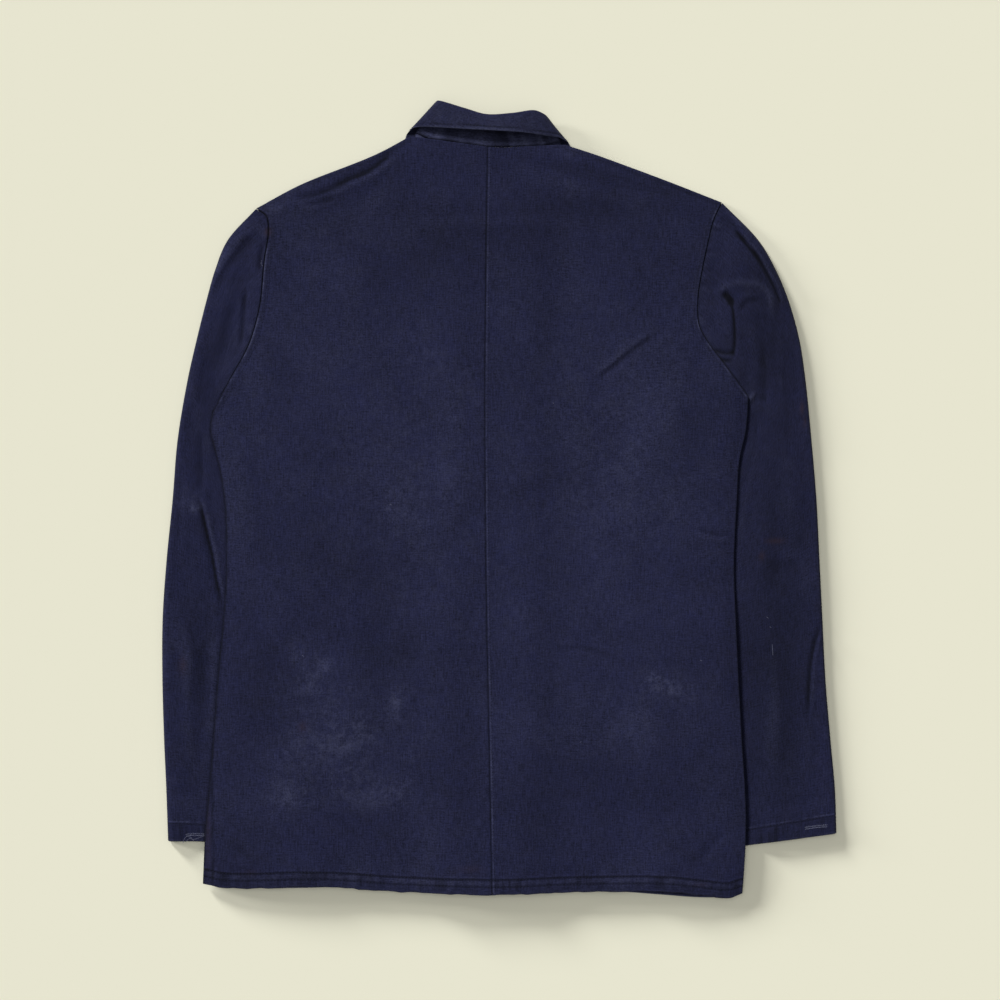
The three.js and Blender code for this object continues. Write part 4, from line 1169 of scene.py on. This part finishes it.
# %% One ring of a sleeve
def folded_edge(end, before, turns):
    """The rounded fold past the end of a row: its places, and the way that faces out at each."""
    ahead = (end - before) / np.linalg.norm(end - before)
    out = np.stack([ahead[0] * np.cos(turns), ahead[1] * np.cos(turns), np.sin(turns)], -1)
    return np.array([*end, fold_level]) + fold_radius * out, out


def sleeve_ring(top_line, under_line, down):
    """One ring: its places, the way out, places on the cloth, and distances from the outer fold."""
    width, width_under = length_of(top_line), length_of(under_line)
    across = np.linspace(inset + 7.5, width - inset - 2, sleeve_columns)
    spots = np.concatenate([inset + edge_steps, across, [width - inset]])
    top = along(top_line, spots / width)
    from_inner = np.concatenate([under_steps, np.linspace(50, width_under - 2 * inset, far_under_steps)])
    under_spots = width_under - inset - from_inner
    under = along(under_line, under_spots / width_under)
    inner_fold, inner_out = folded_edge(top[-1], top[-2], fold_turn)
    outer_fold, outer_out = folded_edge(top[0], top[1], fold_turn[::-1])
    flat_top = np.column_stack([top, np.zeros(len(top))])
    flat_under = np.column_stack([under, np.full(len(under), cloth / 2)])
    ring = np.vstack([flat_top, inner_fold, flat_under, outer_fold])
    out = np.vstack([np.tile(up, (len(top), 1)), inner_out, np.tile(-up, (len(under), 1)), outer_out])
    girth = np.concatenate([
        spots, width + fold_steps, 2 * width - under_spots * width / width_under, 2 * width + fold_steps,
        [2 * width + inset],
    ])
    from_outer = np.concatenate([spots, np.full(len(ring) - len(spots), far_away)])
    return ring, out, np.column_stack([girth, np.full(len(girth), down)]), from_outer


# %% The top of a sleeve
outer_round = 7  # mm over which the top comes down to the outer fold
below_back = 0.4  # mm from the back's edge down to the top of the sleeve


def sleeve_relief(hand, x, y, from_cuff, across):
    """Height of the folds and puckers of a sleeve, in mm."""
    height = 0.8 * washed(x, y, 71 if hand == "left" else 83) + 1.25 * folds_at(sleeve_folds[hand], x, y)
    # The sleeve head is eased into the armhole, which leaves short puckers across the seam.
    from_hole, _, share = beside(armhole[hand][::3], x, y)
    eased = swell(share * length_of(armhole[hand]), from_hole, (4.5, 16), 95)
    height = height + 0.55 * eased * bell(from_hole, 9) * smoothstep(from_hole, 0, 2)
    height = height + 0.22 * swell(across, from_cuff, (9, 85), 111) + 0.12 * swell(x, y, (14, 9), 113)
    in_cuff = smoothstep(from_cuff, 0, 2) * (1 - smoothstep(from_cuff, 15, 18))
    ribs = np.sin(2 * math.pi * (across / 6.4 + 0.8 * swell(across, from_cuff, (26, 60), 91)))
    height = height + 0.15 * ribs * in_cuff
    return height + 0.2 * swell(across, from_cuff, (7, 26), 93) * bell(from_cuff, 8, 24)


def sleeve_top(hand, x, y, from_outer, relief):
    """Middle of the top cloth of a sleeve."""
    far = distance_to(body_outline, x, y)
    shown = smoothstep(far, 0, 3) * smoothstep(from_outer, 0, 5)
    height = cloth / 2 + 2 * fold_radius + smoothstep(far, open_from, open_to) * sleeve_loft
    # Beside the armhole, the sleeve is sewn to the back, so its top rises to the back's edge.
    distance, hand_side, share = beside(armhole[hand][::3], x, y)
    level, room = back_level(x, y)
    outside = np.where(hand_side * hands[hand] < 0, 1.0, 0.0)
    join = fall(distance, 1.5, 26) * smoothstep(share, 0.02, 0.22)
    join = join * (1 - smoothstep(share, 0.93, 1.0)) * outside
    height = height + np.maximum(level + room - below_back - height, 0) * join
    lowest = 1.5 * cloth + 0.25  # so that the top never touches the under layer
    height = height + np.maximum(relief * shown, lowest - height)
    rounded = np.sqrt(1 - (1 - np.clip(from_outer / outer_round, 0, 1)) ** 2)
    return fold_level + (height - fold_level) * np.maximum(rounded, 0.55)


# %% The sleeve's wear, fade, soil, painted shade and painted highlight
inner_half = 90  # mm from the outer fold, past which a sleeve is a little worn all over


def sleeve_marks(hand, x, y, from_cuff, from_outer, relief_all, on_top):
    """How much wear, fade, soil, painted shade and painted highlight each place of a sleeve has."""
    at_fold = bell(np.where(from_outer > inner_half, 0, from_outer), 2.5, 1.5)
    # The ridges of the folds are painted lighter, a painted highlight. The cuff, the outer fold and the rest
    # of the sleeve are worn lighter.
    worn = 0.35 * bell(from_cuff, 1.5) + 0.25 * np.clip(relief_all, 0, 1) + 0.05 * at_fold
    broken = 0.6 + 0.6 * swell(from_outer, from_cuff, (5, 90), 99)
    worn = worn + 0.3 * bell(from_cuff, 0.8, cuff_depth + 1) * broken
    # Painted shade: darker in the folds, beside the body's side edge and along the armhole where the body
    # lies over the sleeve, more on the left, between the cuff's ribs and in broad patches. The cuff's row of
    # stitches is a darker line.
    sunk = 0.6 * bell(from_cuff, 0.8, cuff_depth - 1)
    sunk = sunk + painted_fold_shade(1.25 * folds_at(sleeve_folds[hand], x, y)) * on_top
    painted_body_shadow = bell(distance_to_line(side[hand][::4], x, y), 2.0)
    sunk = sunk + (0.6 if hand == "left" else 0.15) * painted_body_shadow * on_top
    sunk = sunk + 0.6 * bell(distance_to_line(armhole[hand][::4], x, y), 1.3) * on_top
    in_cuff = from_cuff < cuff_depth - 2
    painted_rib_shade = swell(from_outer, from_cuff, (3.6, 30), 97) * in_cuff
    sunk = sunk + 0.1 * in_cuff + 0.5 * np.clip(painted_rib_shade, 0, 1)
    sunk = sunk + patches_at(painted_shade_patches, x, y)
    return marked(x, y, worn, sunk, 0.93)


# %% Make the sleeves
sleeve_pieces = {}
sleeve_tops = {}
cuff_stitch_dent = cuff_depth - 1.5  # mm from the end of the sleeve
top_count = len(edge_steps) + sleeve_columns + 1
for hand in hands:
    from_start = np.concatenate([[0, 0.6, 1.5, 2.8], np.linspace(4.5, sleeve_length - 25, sleeve_rows)])
    v = np.concatenate([from_start, sleeve_length - np.array(cuff_steps)]) / sleeve_length
    top_lines = sleeve_grid(hand, armhole, v)
    under_lines = eased_apart(sleeve_grid(hand, front_armhole, v)[:, ::2].copy())
    rings = [sleeve_ring(*lines, down * sleeve_length) for *lines, down in zip(top_lines, under_lines, v)]
    middle, out, spread, from_outer = (np.array(part) for part in zip(*rings))
    from_cuff = np.broadcast_to(((1 - v) * sleeve_length)[:, None], middle.shape[:2])
    x, y, across = middle[:, :top_count, 0], middle[:, :top_count, 1], from_outer[:, :top_count]
    relief_all = np.zeros(middle.shape[:2])
    relief_all[:, :top_count] = sleeve_relief(hand, x, y, from_cuff[:, :top_count], across)
    middle[:, :top_count, 2] = sleeve_top(hand, x, y, across, relief_all[:, :top_count])
    end_distance = np.minimum(v, 1 - v) * sleeve_length
    round_here = np.broadcast_to(rounding(end_distance)[:, None], middle.shape[:2])
    on_top = out[..., 2] > 0.9
    half = cloth / 2 * round_here
    above = half + hem_thickness(from_cuff, (cuff_stitch_dent,), cuff_depth) * round_here * on_top
    marks_here = sleeve_marks(hand, middle[..., 0], middle[..., 1], from_cuff, from_outer, relief_all, on_top)
    sleeve_tops[hand] = middle[:, :top_count]
    sleeve_pieces[hand] = wall(f"sleeve_tube_{hand}", middle, out, above, half, spread, marks_here, ring=True)

# %% [markdown]
# ## The collar
# The collar is one folded band. It stands up from the neck seam, turns over at its fold, and its leaf comes
# back over it. Rows from the solid give its section at places round the neck: where it is sewn, its fold,
# its edge, and the way from stand to leaf. Smooth lines through those rows give close sections, and a
# smooth line through each section gives its rounded fold.

# %% The collar's sections
collar_rows = [
    # where it is sewn: a share of the neckline or a place; its fold; its edge; its turn in degrees; its roll
    ("front", -0.84, (-13, 315, 1.4), (-54, 246, 0.6), -90, 0.8),
    ("front", -0.75, (-24, 322, 1.4), (-66, 260, 0.6), -90, 0.8),
    ("front", -0.5, (-41, 342, 1.4), (-84, 290, 0.6), -90, 0.8),
    ("front", -0.25, (-53, 367, 1.4), (-93, 318, 0.6), -90, 0.8),
    ("front", -0.09, (-60, 390, 1.7), (-96, 350, 0.6), -90, 1),
    ("seam", (-85, 366, 2.1), (-62, 396.2, 2.6), (-93.5, 365, 0.9), -55, 1.2),
    ("seam", (-84.4, 367.3, 3.3), (-61.8, 397.6, 4.2), (-91, 368.2, 3.8), 0, 1.4),
    ("seam", (-82, 367.2, 4.6), (-59.4, 397, 6.2), (-86, 371.8, 8.2), 55, 1.8),
    ("back", -0.75, (-52, 394.5, 8), (-76, 372.4, 11), 90, 2),
    ("back", -0.5, (-36, 389, 9.5), (-48, 370.2, 17), 90, 2.3),
    ("back", 0, (-13, 382.5, 10.5), (-8, 367.6, 20), 90, 2.4),
    ("back", 0.5, (14, 384, 10), (24, 366.0, 17.5), 90, 2.3),
    ("back", 0.75, (36, 387, 8.5), (48, 363.2, 12), 90, 2),
    ("seam", (58.2, 358.6, 4.6), (44, 384, 6.4), (60, 362, 8.6), 55, 1.8),
    ("seam", (61.2, 359, 3.3), (46.6, 381.4, 4.2), (67.3, 358.8, 3.8), 0, 1.4),
    ("seam", (61.8, 357.8, 2.1), (46.5, 378, 2.6), (69.8, 356.8, 0.9), -55, 1.2),
    ("front", 0.09, (45, 372, 1.7), (74, 342, 0.6), -90, 1),
    ("front", 0.25, (37, 354, 1.4), (74, 316, 0.6), -90, 0.8),
    ("front", 0.5, (23, 336, 1.4), (64, 290, 0.6), -90, 0.8),
    ("front", 0.75, (5, 320, 1.4), (46, 260, 0.6), -90, 0.8),
    ("front", 0.84, (-6, 315, 1.4), (34, 246, 0.6), -90, 0.8),
]


def beside_neck(kind, signed_share):
    """A place just inside a neckline, at the height of the cloth there."""
    hand = "left" if signed_share < 0 else "right"
    line = (back_neck if kind == "back" else front_neck)[hand]
    place = along(line, abs(signed_share))
    ahead = along(line, min(abs(signed_share) + 0.02, 1))
    behind = along(line, max(abs(signed_share) - 0.02, 0))
    tangent = (ahead - behind) / np.linalg.norm(ahead - behind)
    inwards = np.array([-tangent[1], tangent[0]]) * (-1 if tangent[0] < 0 else 1)
    place = place + sewn_gap * inwards
    if kind == "back":
        level, room = back_level(place[0], place[1])
        return np.array([*place, float(level + room)])
    return np.array([*place, float(front_height(hand, place[0], place[1]))])


def sewn_place(row, following, share):
    """Where the collar is sewn on, at a row or between two of them."""
    kind, start = row[:2]
    if kind != "seam" and kind == following[0]:
        return beside_neck(kind, start + share * (following[1] - start))
    ends = [np.array(r[1], float) if r[0] == "seam" else sewn_place(r, r, 0) for r in (row, following)]
    return ends[0] + share * (ends[1] - ends[0])


# %% Make the collar
sections_between = 11
fold_line = smooth_line([row[2] for row in collar_rows], sections_between)
edge_line = smooth_line([row[3] for row in collar_rows], sections_between)
sections = []
for number in range(len(fold_line)):
    row = min(number // sections_between, len(collar_rows) - 2)
    share = number / sections_between - row
    here, following = collar_rows[row], collar_rows[row + 1]
    turn_angle = math.radians(here[4] + share * (following[4] - here[4]))
    roll = here[5] + share * (following[5] - here[5])
    sewn = sewn_place(here, following, share)
    fold_at, edge_at = fold_line[number], edge_line[number]
    away = fold_at - (sewn + edge_at) / 2
    away = away / np.linalg.norm(away)
    outwards = np.array([away[1], -away[0], 0.0]) * (-1 if number < len(fold_line) / 2 else 1)
    outwards = outwards / np.linalg.norm(outwards)
    to_leaf = up * math.sin(turn_angle) + outwards * math.cos(turn_angle)
    stand_top, leaf_top = fold_at - roll * to_leaf, fold_at + roll * to_leaf
    profile = [sewn, (sewn + stand_top) / 2, stand_top]
    for angle in (-math.pi / 3, 0, math.pi / 3):
        profile.append(fold_at + roll * (math.sin(angle) * to_leaf + math.cos(angle) * away))
    profile += [leaf_top, (leaf_top + edge_at) / 2, edge_at]
    sections.append(smooth_line(profile, 6))
middle = np.array(sections)
middle[..., 2] = np.maximum(middle[..., 2], cloth / 2)


def facing(places):
    """The way that faces out from each place of a grid."""
    across_rows = np.gradient(places, axis=0)
    over = np.gradient(places, axis=1)
    out = np.cross(over, across_rows)
    return out / np.maximum(np.linalg.norm(out, axis=2, keepdims=True), 1e-9)


# %% The collar's puckers and edges
leaf_stitch = 4.6  # mm from the edge of the leaf to its row of stitches
gone = distance_gone(middle)
from_leaf_edge = gone[:, -1:] - gone
round_neck = distance_gone(fold_line)
round_place = np.broadcast_to(round_neck[:, None], gone.shape)
share_over = np.linspace(0, 1, middle.shape[1])[None, :]
on_back = smoothstep(fold_line[:, 2], 3.5, 8)[:, None]
stand_puckers = swell(round_place, gone, (4.5, 30), 101) + 0.6 * swell(round_place, gone, (9, 30), 103)
leaf_waves = swell(round_place, gone, (26, 16), 105) + 0.3 * swell(round_place, gone, (9, 7), 107)
stand_here = 1 - smoothstep(share_over, 0.2, 0.32)
leaf_here = smoothstep(share_over, 0.66, 0.8)
on_stand = 0.6 * stand_puckers * stand_here * smoothstep(gone, 0, 3)
relief_here = on_back * (on_stand + 0.35 * leaf_waves * leaf_here)
middle = middle + facing(middle) * relief_here[..., None]
rim = 0.35 * bell(from_leaf_edge, 1.2, 1.6) - 0.15 * bell(from_leaf_edge, 0.9, leaf_stitch)
ends = np.minimum(round_neck, round_neck[-1] - round_neck)[:, None]
round_here = rounding(np.minimum(np.minimum(gone, from_leaf_edge), ends))
above = (cloth / 2 + rim * on_back) * round_here
below = cloth / 2 * round_here

# %% The collar's wear, painted light and painted shade
at_fold = bell(share_over, 0.06, 0.5)
worn = 0.8 * bell(from_leaf_edge, 1.5) + 0.3 * at_fold + 0.15 * leaf_here
# The stand is painted lighter, painted light under the leaf's shade, and lighter still on the ridges of its
# puckers.
worn = worn + (0.48 + 0.3 * smoothstep(stand_puckers, -0.2, 0.8)) * stand_here
under_edge = distance_to_line(edge_line[::3, :2], middle[..., 0], middle[..., 1]) * np.ones(gone.shape)
# Painted shadow of the leaf's edge on the stand below it.
painted_leaf_shadow = 0.6 * bell(under_edge, 2.2) * stand_here * bell(middle[..., 0], 52, -10)
# Painted shade: darker at the neck seam, on the leaf and in the troughs of the stand's puckers, with a darker
# line at the leaf's row of stitches.
collar_painted_shade = 0.5 * bell(from_leaf_edge, 0.8, leaf_stitch) + 0.6 * bell(gone, 1.2)
collar_painted_shade = collar_painted_shade + 0.3 * leaf_here + 0.45 * stand_here * smoothstep(-stand_puckers, 0, 0.9)
collar_painted_shade = collar_painted_shade + painted_leaf_shadow
marks_here = {
    "worn": np.clip(0.7 * worn, 0, 1),
    "faded": 0.12 * leaf_here * np.ones(gone.shape),
    "soiled": 0.1 * at_fold * np.ones(gone.shape),
    "sunk": np.clip(collar_painted_shade, 0, 0.8),
}
collar_middle, collar_out, collar_above = middle, facing(middle), above
on_band = np.stack([round_place, gone], -1)
collar_piece = wall("turned_collar", collar_middle, collar_out, above, below, on_band, marks_here)

# %% [markdown]
# ## Rows of stitches on the jacket
# The hem has two rows of stitches all round, the cuffs and the edge of the collar have one, and one follows
# each armhole and the centre back. The fronts and the hip pockets have theirs underneath. Each path is laid
# on the finished surface, with the height of the cloth there. The stitches sink halfway into the cloth, as
# drawn thread does.

# %% Lay paths of stitches
def stitches(name, paths, seed, turn_angle=0.0, length=2.5, gap=0.8, width=0.55, waver=0.07, material=thread):
    """One piece with a row of stitches along each path, whose places are in mm."""
    points, edges = [], []
    for line in paths:
        first = len(points)
        points += [tuple(place * MM) for place in line]
        edges += [(first + i, first + i + 1) for i in range(len(line) - 1)]
    mesh = bpy.data.meshes.new(name + "_path")
    mesh.from_pydata(points, edges, [])
    carrier = in_scene(name + "_path", mesh)
    modifier = carrier.modifiers.new("stitches", "NODES")
    modifier.node_group = stitch_tree
    values = {
        "Stitch length": length * MM, "Gap": gap * MM, "Thread width": width * MM, "Turn": turn_angle,
        "Waver": waver, "Seed": seed,
    }
    for item in stitch_tree.interface.items_tree:
        if item.in_out == "INPUT" and item.name in values:
            modifier[item.identifier] = values[item.name]
    evaluated = carrier.evaluated_get(bpy.context.evaluated_depsgraph_get())
    made = bpy.data.meshes.new_from_object(evaluated)
    made.name = name
    made.materials.clear()
    made.materials.append(material)
    carrier.modifiers.remove(modifier)
    bpy.data.objects.remove(carrier)
    print(name, "has", len(made.polygons), "faces")
    return in_scene(name, made)


def on_back_surface(hand, line):
    """A path on top of the back."""
    x, y = line[:, 0], line[:, 1]
    relief_here, from_hem, _, _ = relief_at(hand, x, y)
    z = back_height_at(x, y, relief_here) + cloth / 2
    z = z + hem_thickness(from_hem, back_hem_stitches, hem_depth)
    return np.column_stack([line, z])


def inside_line(line, distance, sign):
    """A line beside another one, at a distance on one of its sides."""
    tangent = np.gradient(line, axis=0)
    tangent = tangent / np.linalg.norm(tangent, axis=1)[:, None]
    return line + sign * distance * np.stack([-tangent[:, 1], tangent[:, 0]], -1)


armhole_row = 6.2  # mm from the armhole
seam_row = 2.6  # mm from the centre back
stitch_pieces = {}
for hand, sign in hands.items():
    hem_line = along(hem[hand], np.linspace(0.006, 0.985, 240))
    flat = [inside_line(hem_line, distance, sign) for distance in back_hem_stitches]
    flat.append(inside_line(along(armhole[hand], np.linspace(0.03, 0.97, 150)), armhole_row, sign))
    if hand == "right":
        flat.append(along(seam, np.linspace(0.024, 0.996, 420)) + [seam_row, 0])
    rows = [on_back_surface(hand, line) for line in flat]
    stitch_pieces[hand] = stitches(f"back_stitches_{hand}", rows, 3 if hand == "left" else 5)

# %% The rows on the hidden side
front_rows = (3, 44)  # mm from the edge of a front: its own row, and the row of its facing
front_hem_row, front_armhole_row = 15, 6
pocket_rows = (1.8, 7.5)  # mm from the sides and the bottom of a pocket


def on_underside(surface, hand, line):
    """A path on the underside of a front or a pocket."""
    return np.column_stack([line, surface(hand, line[:, 0], line[:, 1]) - cloth / 2])


def straight(start, end):
    """Close points from a start to an end."""
    return np.linspace(start, end, 60)


front_stitch_pieces, pocket_stitch_pieces = {}, {}
for hand, sign in hands.items():
    edge_x = centre_front - sign * underlap
    row_x = [edge_x + sign * distance for distance in front_rows]
    rows = [straight((x, hem_y + 4), (x, front_neck_y - 3)) for x in row_x]
    rows.append(inside_line(along(hem[hand], np.linspace(0.08, 0.98, 160)), front_hem_row, sign))
    near_hole = along(front_armhole[hand], np.linspace(0.04, 0.96, 120))
    rows.append(inside_line(near_hole, front_armhole_row, sign))
    rows = [on_underside(front_surface, hand, row) for row in rows]
    front_stitch_pieces[hand] = stitches(f"front_stitches_{hand}", rows, 29)
    near, far, low, high = pocket_corners(hand)
    rows = []
    for d in pocket_rows:
        a, b = near + sign * d, far - sign * d
        corners = [(a, high - 1), (a, low + d), (b, low + d), (b, high - 1)]
        rows += [straight(start, end) for start, end in zip(corners, corners[1:])]
    rows.append(straight((near + sign, high - pocket_hem), (far - sign, high - pocket_hem)))
    rows = [on_underside(pocket_surface, hand, row) for row in rows]
    pocket_stitch_pieces[hand] = stitches(f"pocket_stitches_{hand}", rows, 31)

# %% The collar's row
on_back_from = 4  # mm above the surface, where the collar's fold lies on the back
on_leaf = []
for number in range(6, len(collar_middle) - 6):
    if fold_line[number, 2] >= on_back_from:
        spot = int(np.argmin(np.abs(from_leaf_edge[number] - leaf_stitch)))
        on_leaf.append(collar_middle[number, spot] + collar_out[number, spot] * collar_above[number, spot])
collar_stitches = stitches("collar_stitches", [smooth_line(on_leaf[::4], 8)], 9)

# %% The cuffs' rows and buttonholes
buttonholes = {
    "left": on_photo((186, 835.5), (195, 834.8), (203.7, 835.2)),
    "right": on_photo((805.4, 828.2), (816, 826.6), (826.8, 825.7)),
}
bar_offsets = (-0.9, 0.9)  # mm from the middle of a buttonhole to its two bars
middle_column = 30  # of the top of a sleeve


def on_sleeve(hand, flat, lift=0.2):
    """A path on top of a sleeve."""
    surface = sleeve_tops[hand].reshape(-1, 3)
    nearest = [surface[np.argmin(np.hypot(surface[:, 0] - px, surface[:, 1] - py)), 2] for px, py in flat]
    return np.column_stack([flat, np.array(nearest) + cloth / 2 + lift])


cuff_pieces = []
for hand in hands:
    top = sleeve_tops[hand]
    from_end = np.linalg.norm(top[:, middle_column] - top[-1:, middle_column], axis=1)
    row = int(np.argmin(np.abs(from_end - cuff_stitch_dent)))
    line = top[row, 1:-2] + [0, 0, cloth / 2 + 0.42 * hem_extra]
    cuff_pieces.append(stitches(f"cuff_stitches_{hand}", [line], 13))
    slit = np.array(smooth_line(buttonholes[hand], 12))
    bars = [on_sleeve(hand, inside_line(slit, offset, 1), hem_extra) for offset in bar_offsets]
    cuff_pieces.append(stitches(
        f"buttonhole_{hand}", bars, 17, turn_angle=0.9, length=2.2, gap=-1.15, width=0.36, waver=0.7,
        material=undyed,
    ))

# %% [markdown]
# ## Lint and frayed thread
# White lint clings to the dark cloth in a few specks, and the left buttonhole has come loose, with a pale
# curl of its thread lying on the cuff. They are very short rows of the same beads, in undyed cotton.

# %% Lay lint and loose thread
lint_on_back = {
    "left": [[(390, 504), (391.5, 505)], [(256.5, 209), (258, 211)], [(303, 655), (304, 656)]],
    "right": [[(700, 660), (701.5, 660.6)], [(553, 403), (554, 404)], [(580, 742), (581, 741.5)]],
}
lint_on_sleeve = {
    "left": [[(262, 260), (261, 263), (262.5, 266)]],
    "right": [
        [(767, 617), (768, 618)], [(770, 627), (771, 627.5)], [(772.2, 645), (772.6, 650), (772.9, 655)],
    ],
}
loose_thread = [
    [(183, 843), (184, 839.5), (186.5, 836.8), (191, 835)],
    [(186, 841.5), (189.5, 838.8), (193, 839.8), (197.5, 838.6), (202, 836.8)],
    [(188.5, 837), (191.5, 838.4), (193.5, 841.5)],
]


def short_path(pixels):
    """A smooth path through a few points of the photograph."""
    return smooth_line(on_photo(*pixels), 6)


for hand in hands:
    rows = [on_back_surface(hand, short_path(pixels)) for pixels in lint_on_back[hand]]
    rows += [on_sleeve(hand, short_path(pixels)) for pixels in lint_on_sleeve[hand]]
    if hand == "left":
        rows += [on_sleeve(hand, short_path(pixels), 0.8) for pixels in loose_thread]
    cuff_pieces.append(stitches(f"lint_{hand}", rows, 23, length=0.9, gap=-0.5, width=0.34, material=undyed))

# %% [markdown]
# Each piece of cloth, with its stitches, is fixed to the jacket's body, and the solid that it stands for is
# hidden.

# %% Put each piece in place of its solid
for hand in hands:
    other_pieces = {
        f"back_{hand}": (back_pieces[hand], [stitch_pieces[hand]], f"front_half_{hand}"),
        f"front_{hand}": (front_pieces[hand], [front_stitch_pieces[hand]], f"hip_pocket_patch_{hand}"),
        f"hip_pocket_{hand}": (pocket_pieces[hand], [pocket_stitch_pieces[hand]], f"sleeve_tube_{hand}"),
        f"sleeve_{hand}": (sleeve_pieces[hand], [p for p in cuff_pieces if p.name.endswith(hand)], "floor"),
    }
    for node, (piece, with_it, under) in other_pieces.items():
        for each in [piece, *with_it]:
            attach(each, "root")
        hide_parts(node)
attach(collar_piece, "root")
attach(collar_stitches, "root")
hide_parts("collar")

# %% [markdown]
# ## Floor and light
# The jacket lies on pale card. Soft low lamps from the upper left draw the shadow at its lower right, as in
# the photograph, and an even pale surround fills the rest.

# %% Floor
floor_half, floor_level = 3, -0.0003  # in metres
corner_signs = ((-1, -1), (1, -1), (1, 1), (-1, 1))
floor_corners = [(x * floor_half, y * floor_half, floor_level) for x, y in corner_signs]
floor_mesh = bpy.data.meshes.new("floor")
floor_mesh.from_pydata(floor_corners, [], [(0, 1, 2, 3)])
card, card_surface = plain_material("pale card", pale_card, 0.95)
card_surface.inputs["Specular IOR Level"].default_value = 0.0
floor_mesh.materials.append(card)
floor = in_scene("floor", floor_mesh)

# %% Surround
surround_share = 0.30  # of the light that the floor gets
surround = bpy.data.worlds.new("surround")
surround.use_nodes = True
surround.node_tree.nodes["Background"].inputs["Color"].default_value = (1, 1, 1, 1)
surround.node_tree.nodes["Background"].inputs["Strength"].default_value = surround_share
bpy.context.scene.world = surround
bpy.context.scene.view_settings.view_transform = "Standard"
print("surround gives", surround_share)

# %% [markdown]
# The photograph's shadow on the floor is long and soft, while its light on the cloth is high and even. So
# three lamps light the floor alone: two low ones that draw the shadow, and a high one that fills it. A
# fourth one lights the jacket alone. Light linking tells each lamp what it may reach.

# %% Lamps
reached = {name: bpy.data.collections.new(name) for name in ("floor only", "jacket only")}
reached["floor only"].objects.link(floor)
for each in bpy.context.scene.objects:
    if each.type == "MESH" and each is not floor:
        reached["jacket only"].objects.link(each)


def lamp(name, share, height, spread, reach, toward=(-0.62, 0.78)):
    """A sun lamp that gives a share of the light on flat ground, from a height above it in degrees."""
    light = bpy.data.lights.new(name, "SUN")
    light.energy = share * math.pi / math.sin(math.radians(height))
    light.angle = math.radians(spread)
    holder = in_scene(name, light)
    level = Vector((*toward, 0)).normalized() * math.cos(math.radians(height))
    aim = -(level + Vector((0, 0, math.sin(math.radians(height)))))
    holder.rotation_euler = aim.to_track_quat("-Z", "Y").to_euler()
    holder.light_linking.receiver_collection = reached[reach]
    print(name, "gives", share, "from", height, "degrees")


lamp("low shadow light", 0.34, 12.5, 11, "floor only")
lamp("low light from the left", 0.15, 9, 11, "floor only", (-0.93, 0.37))
lamp("high fill light", 0.21, 80, 40, "floor only")
lamp("soft light on the jacket", 0.66, 38, 16, "jacket only")
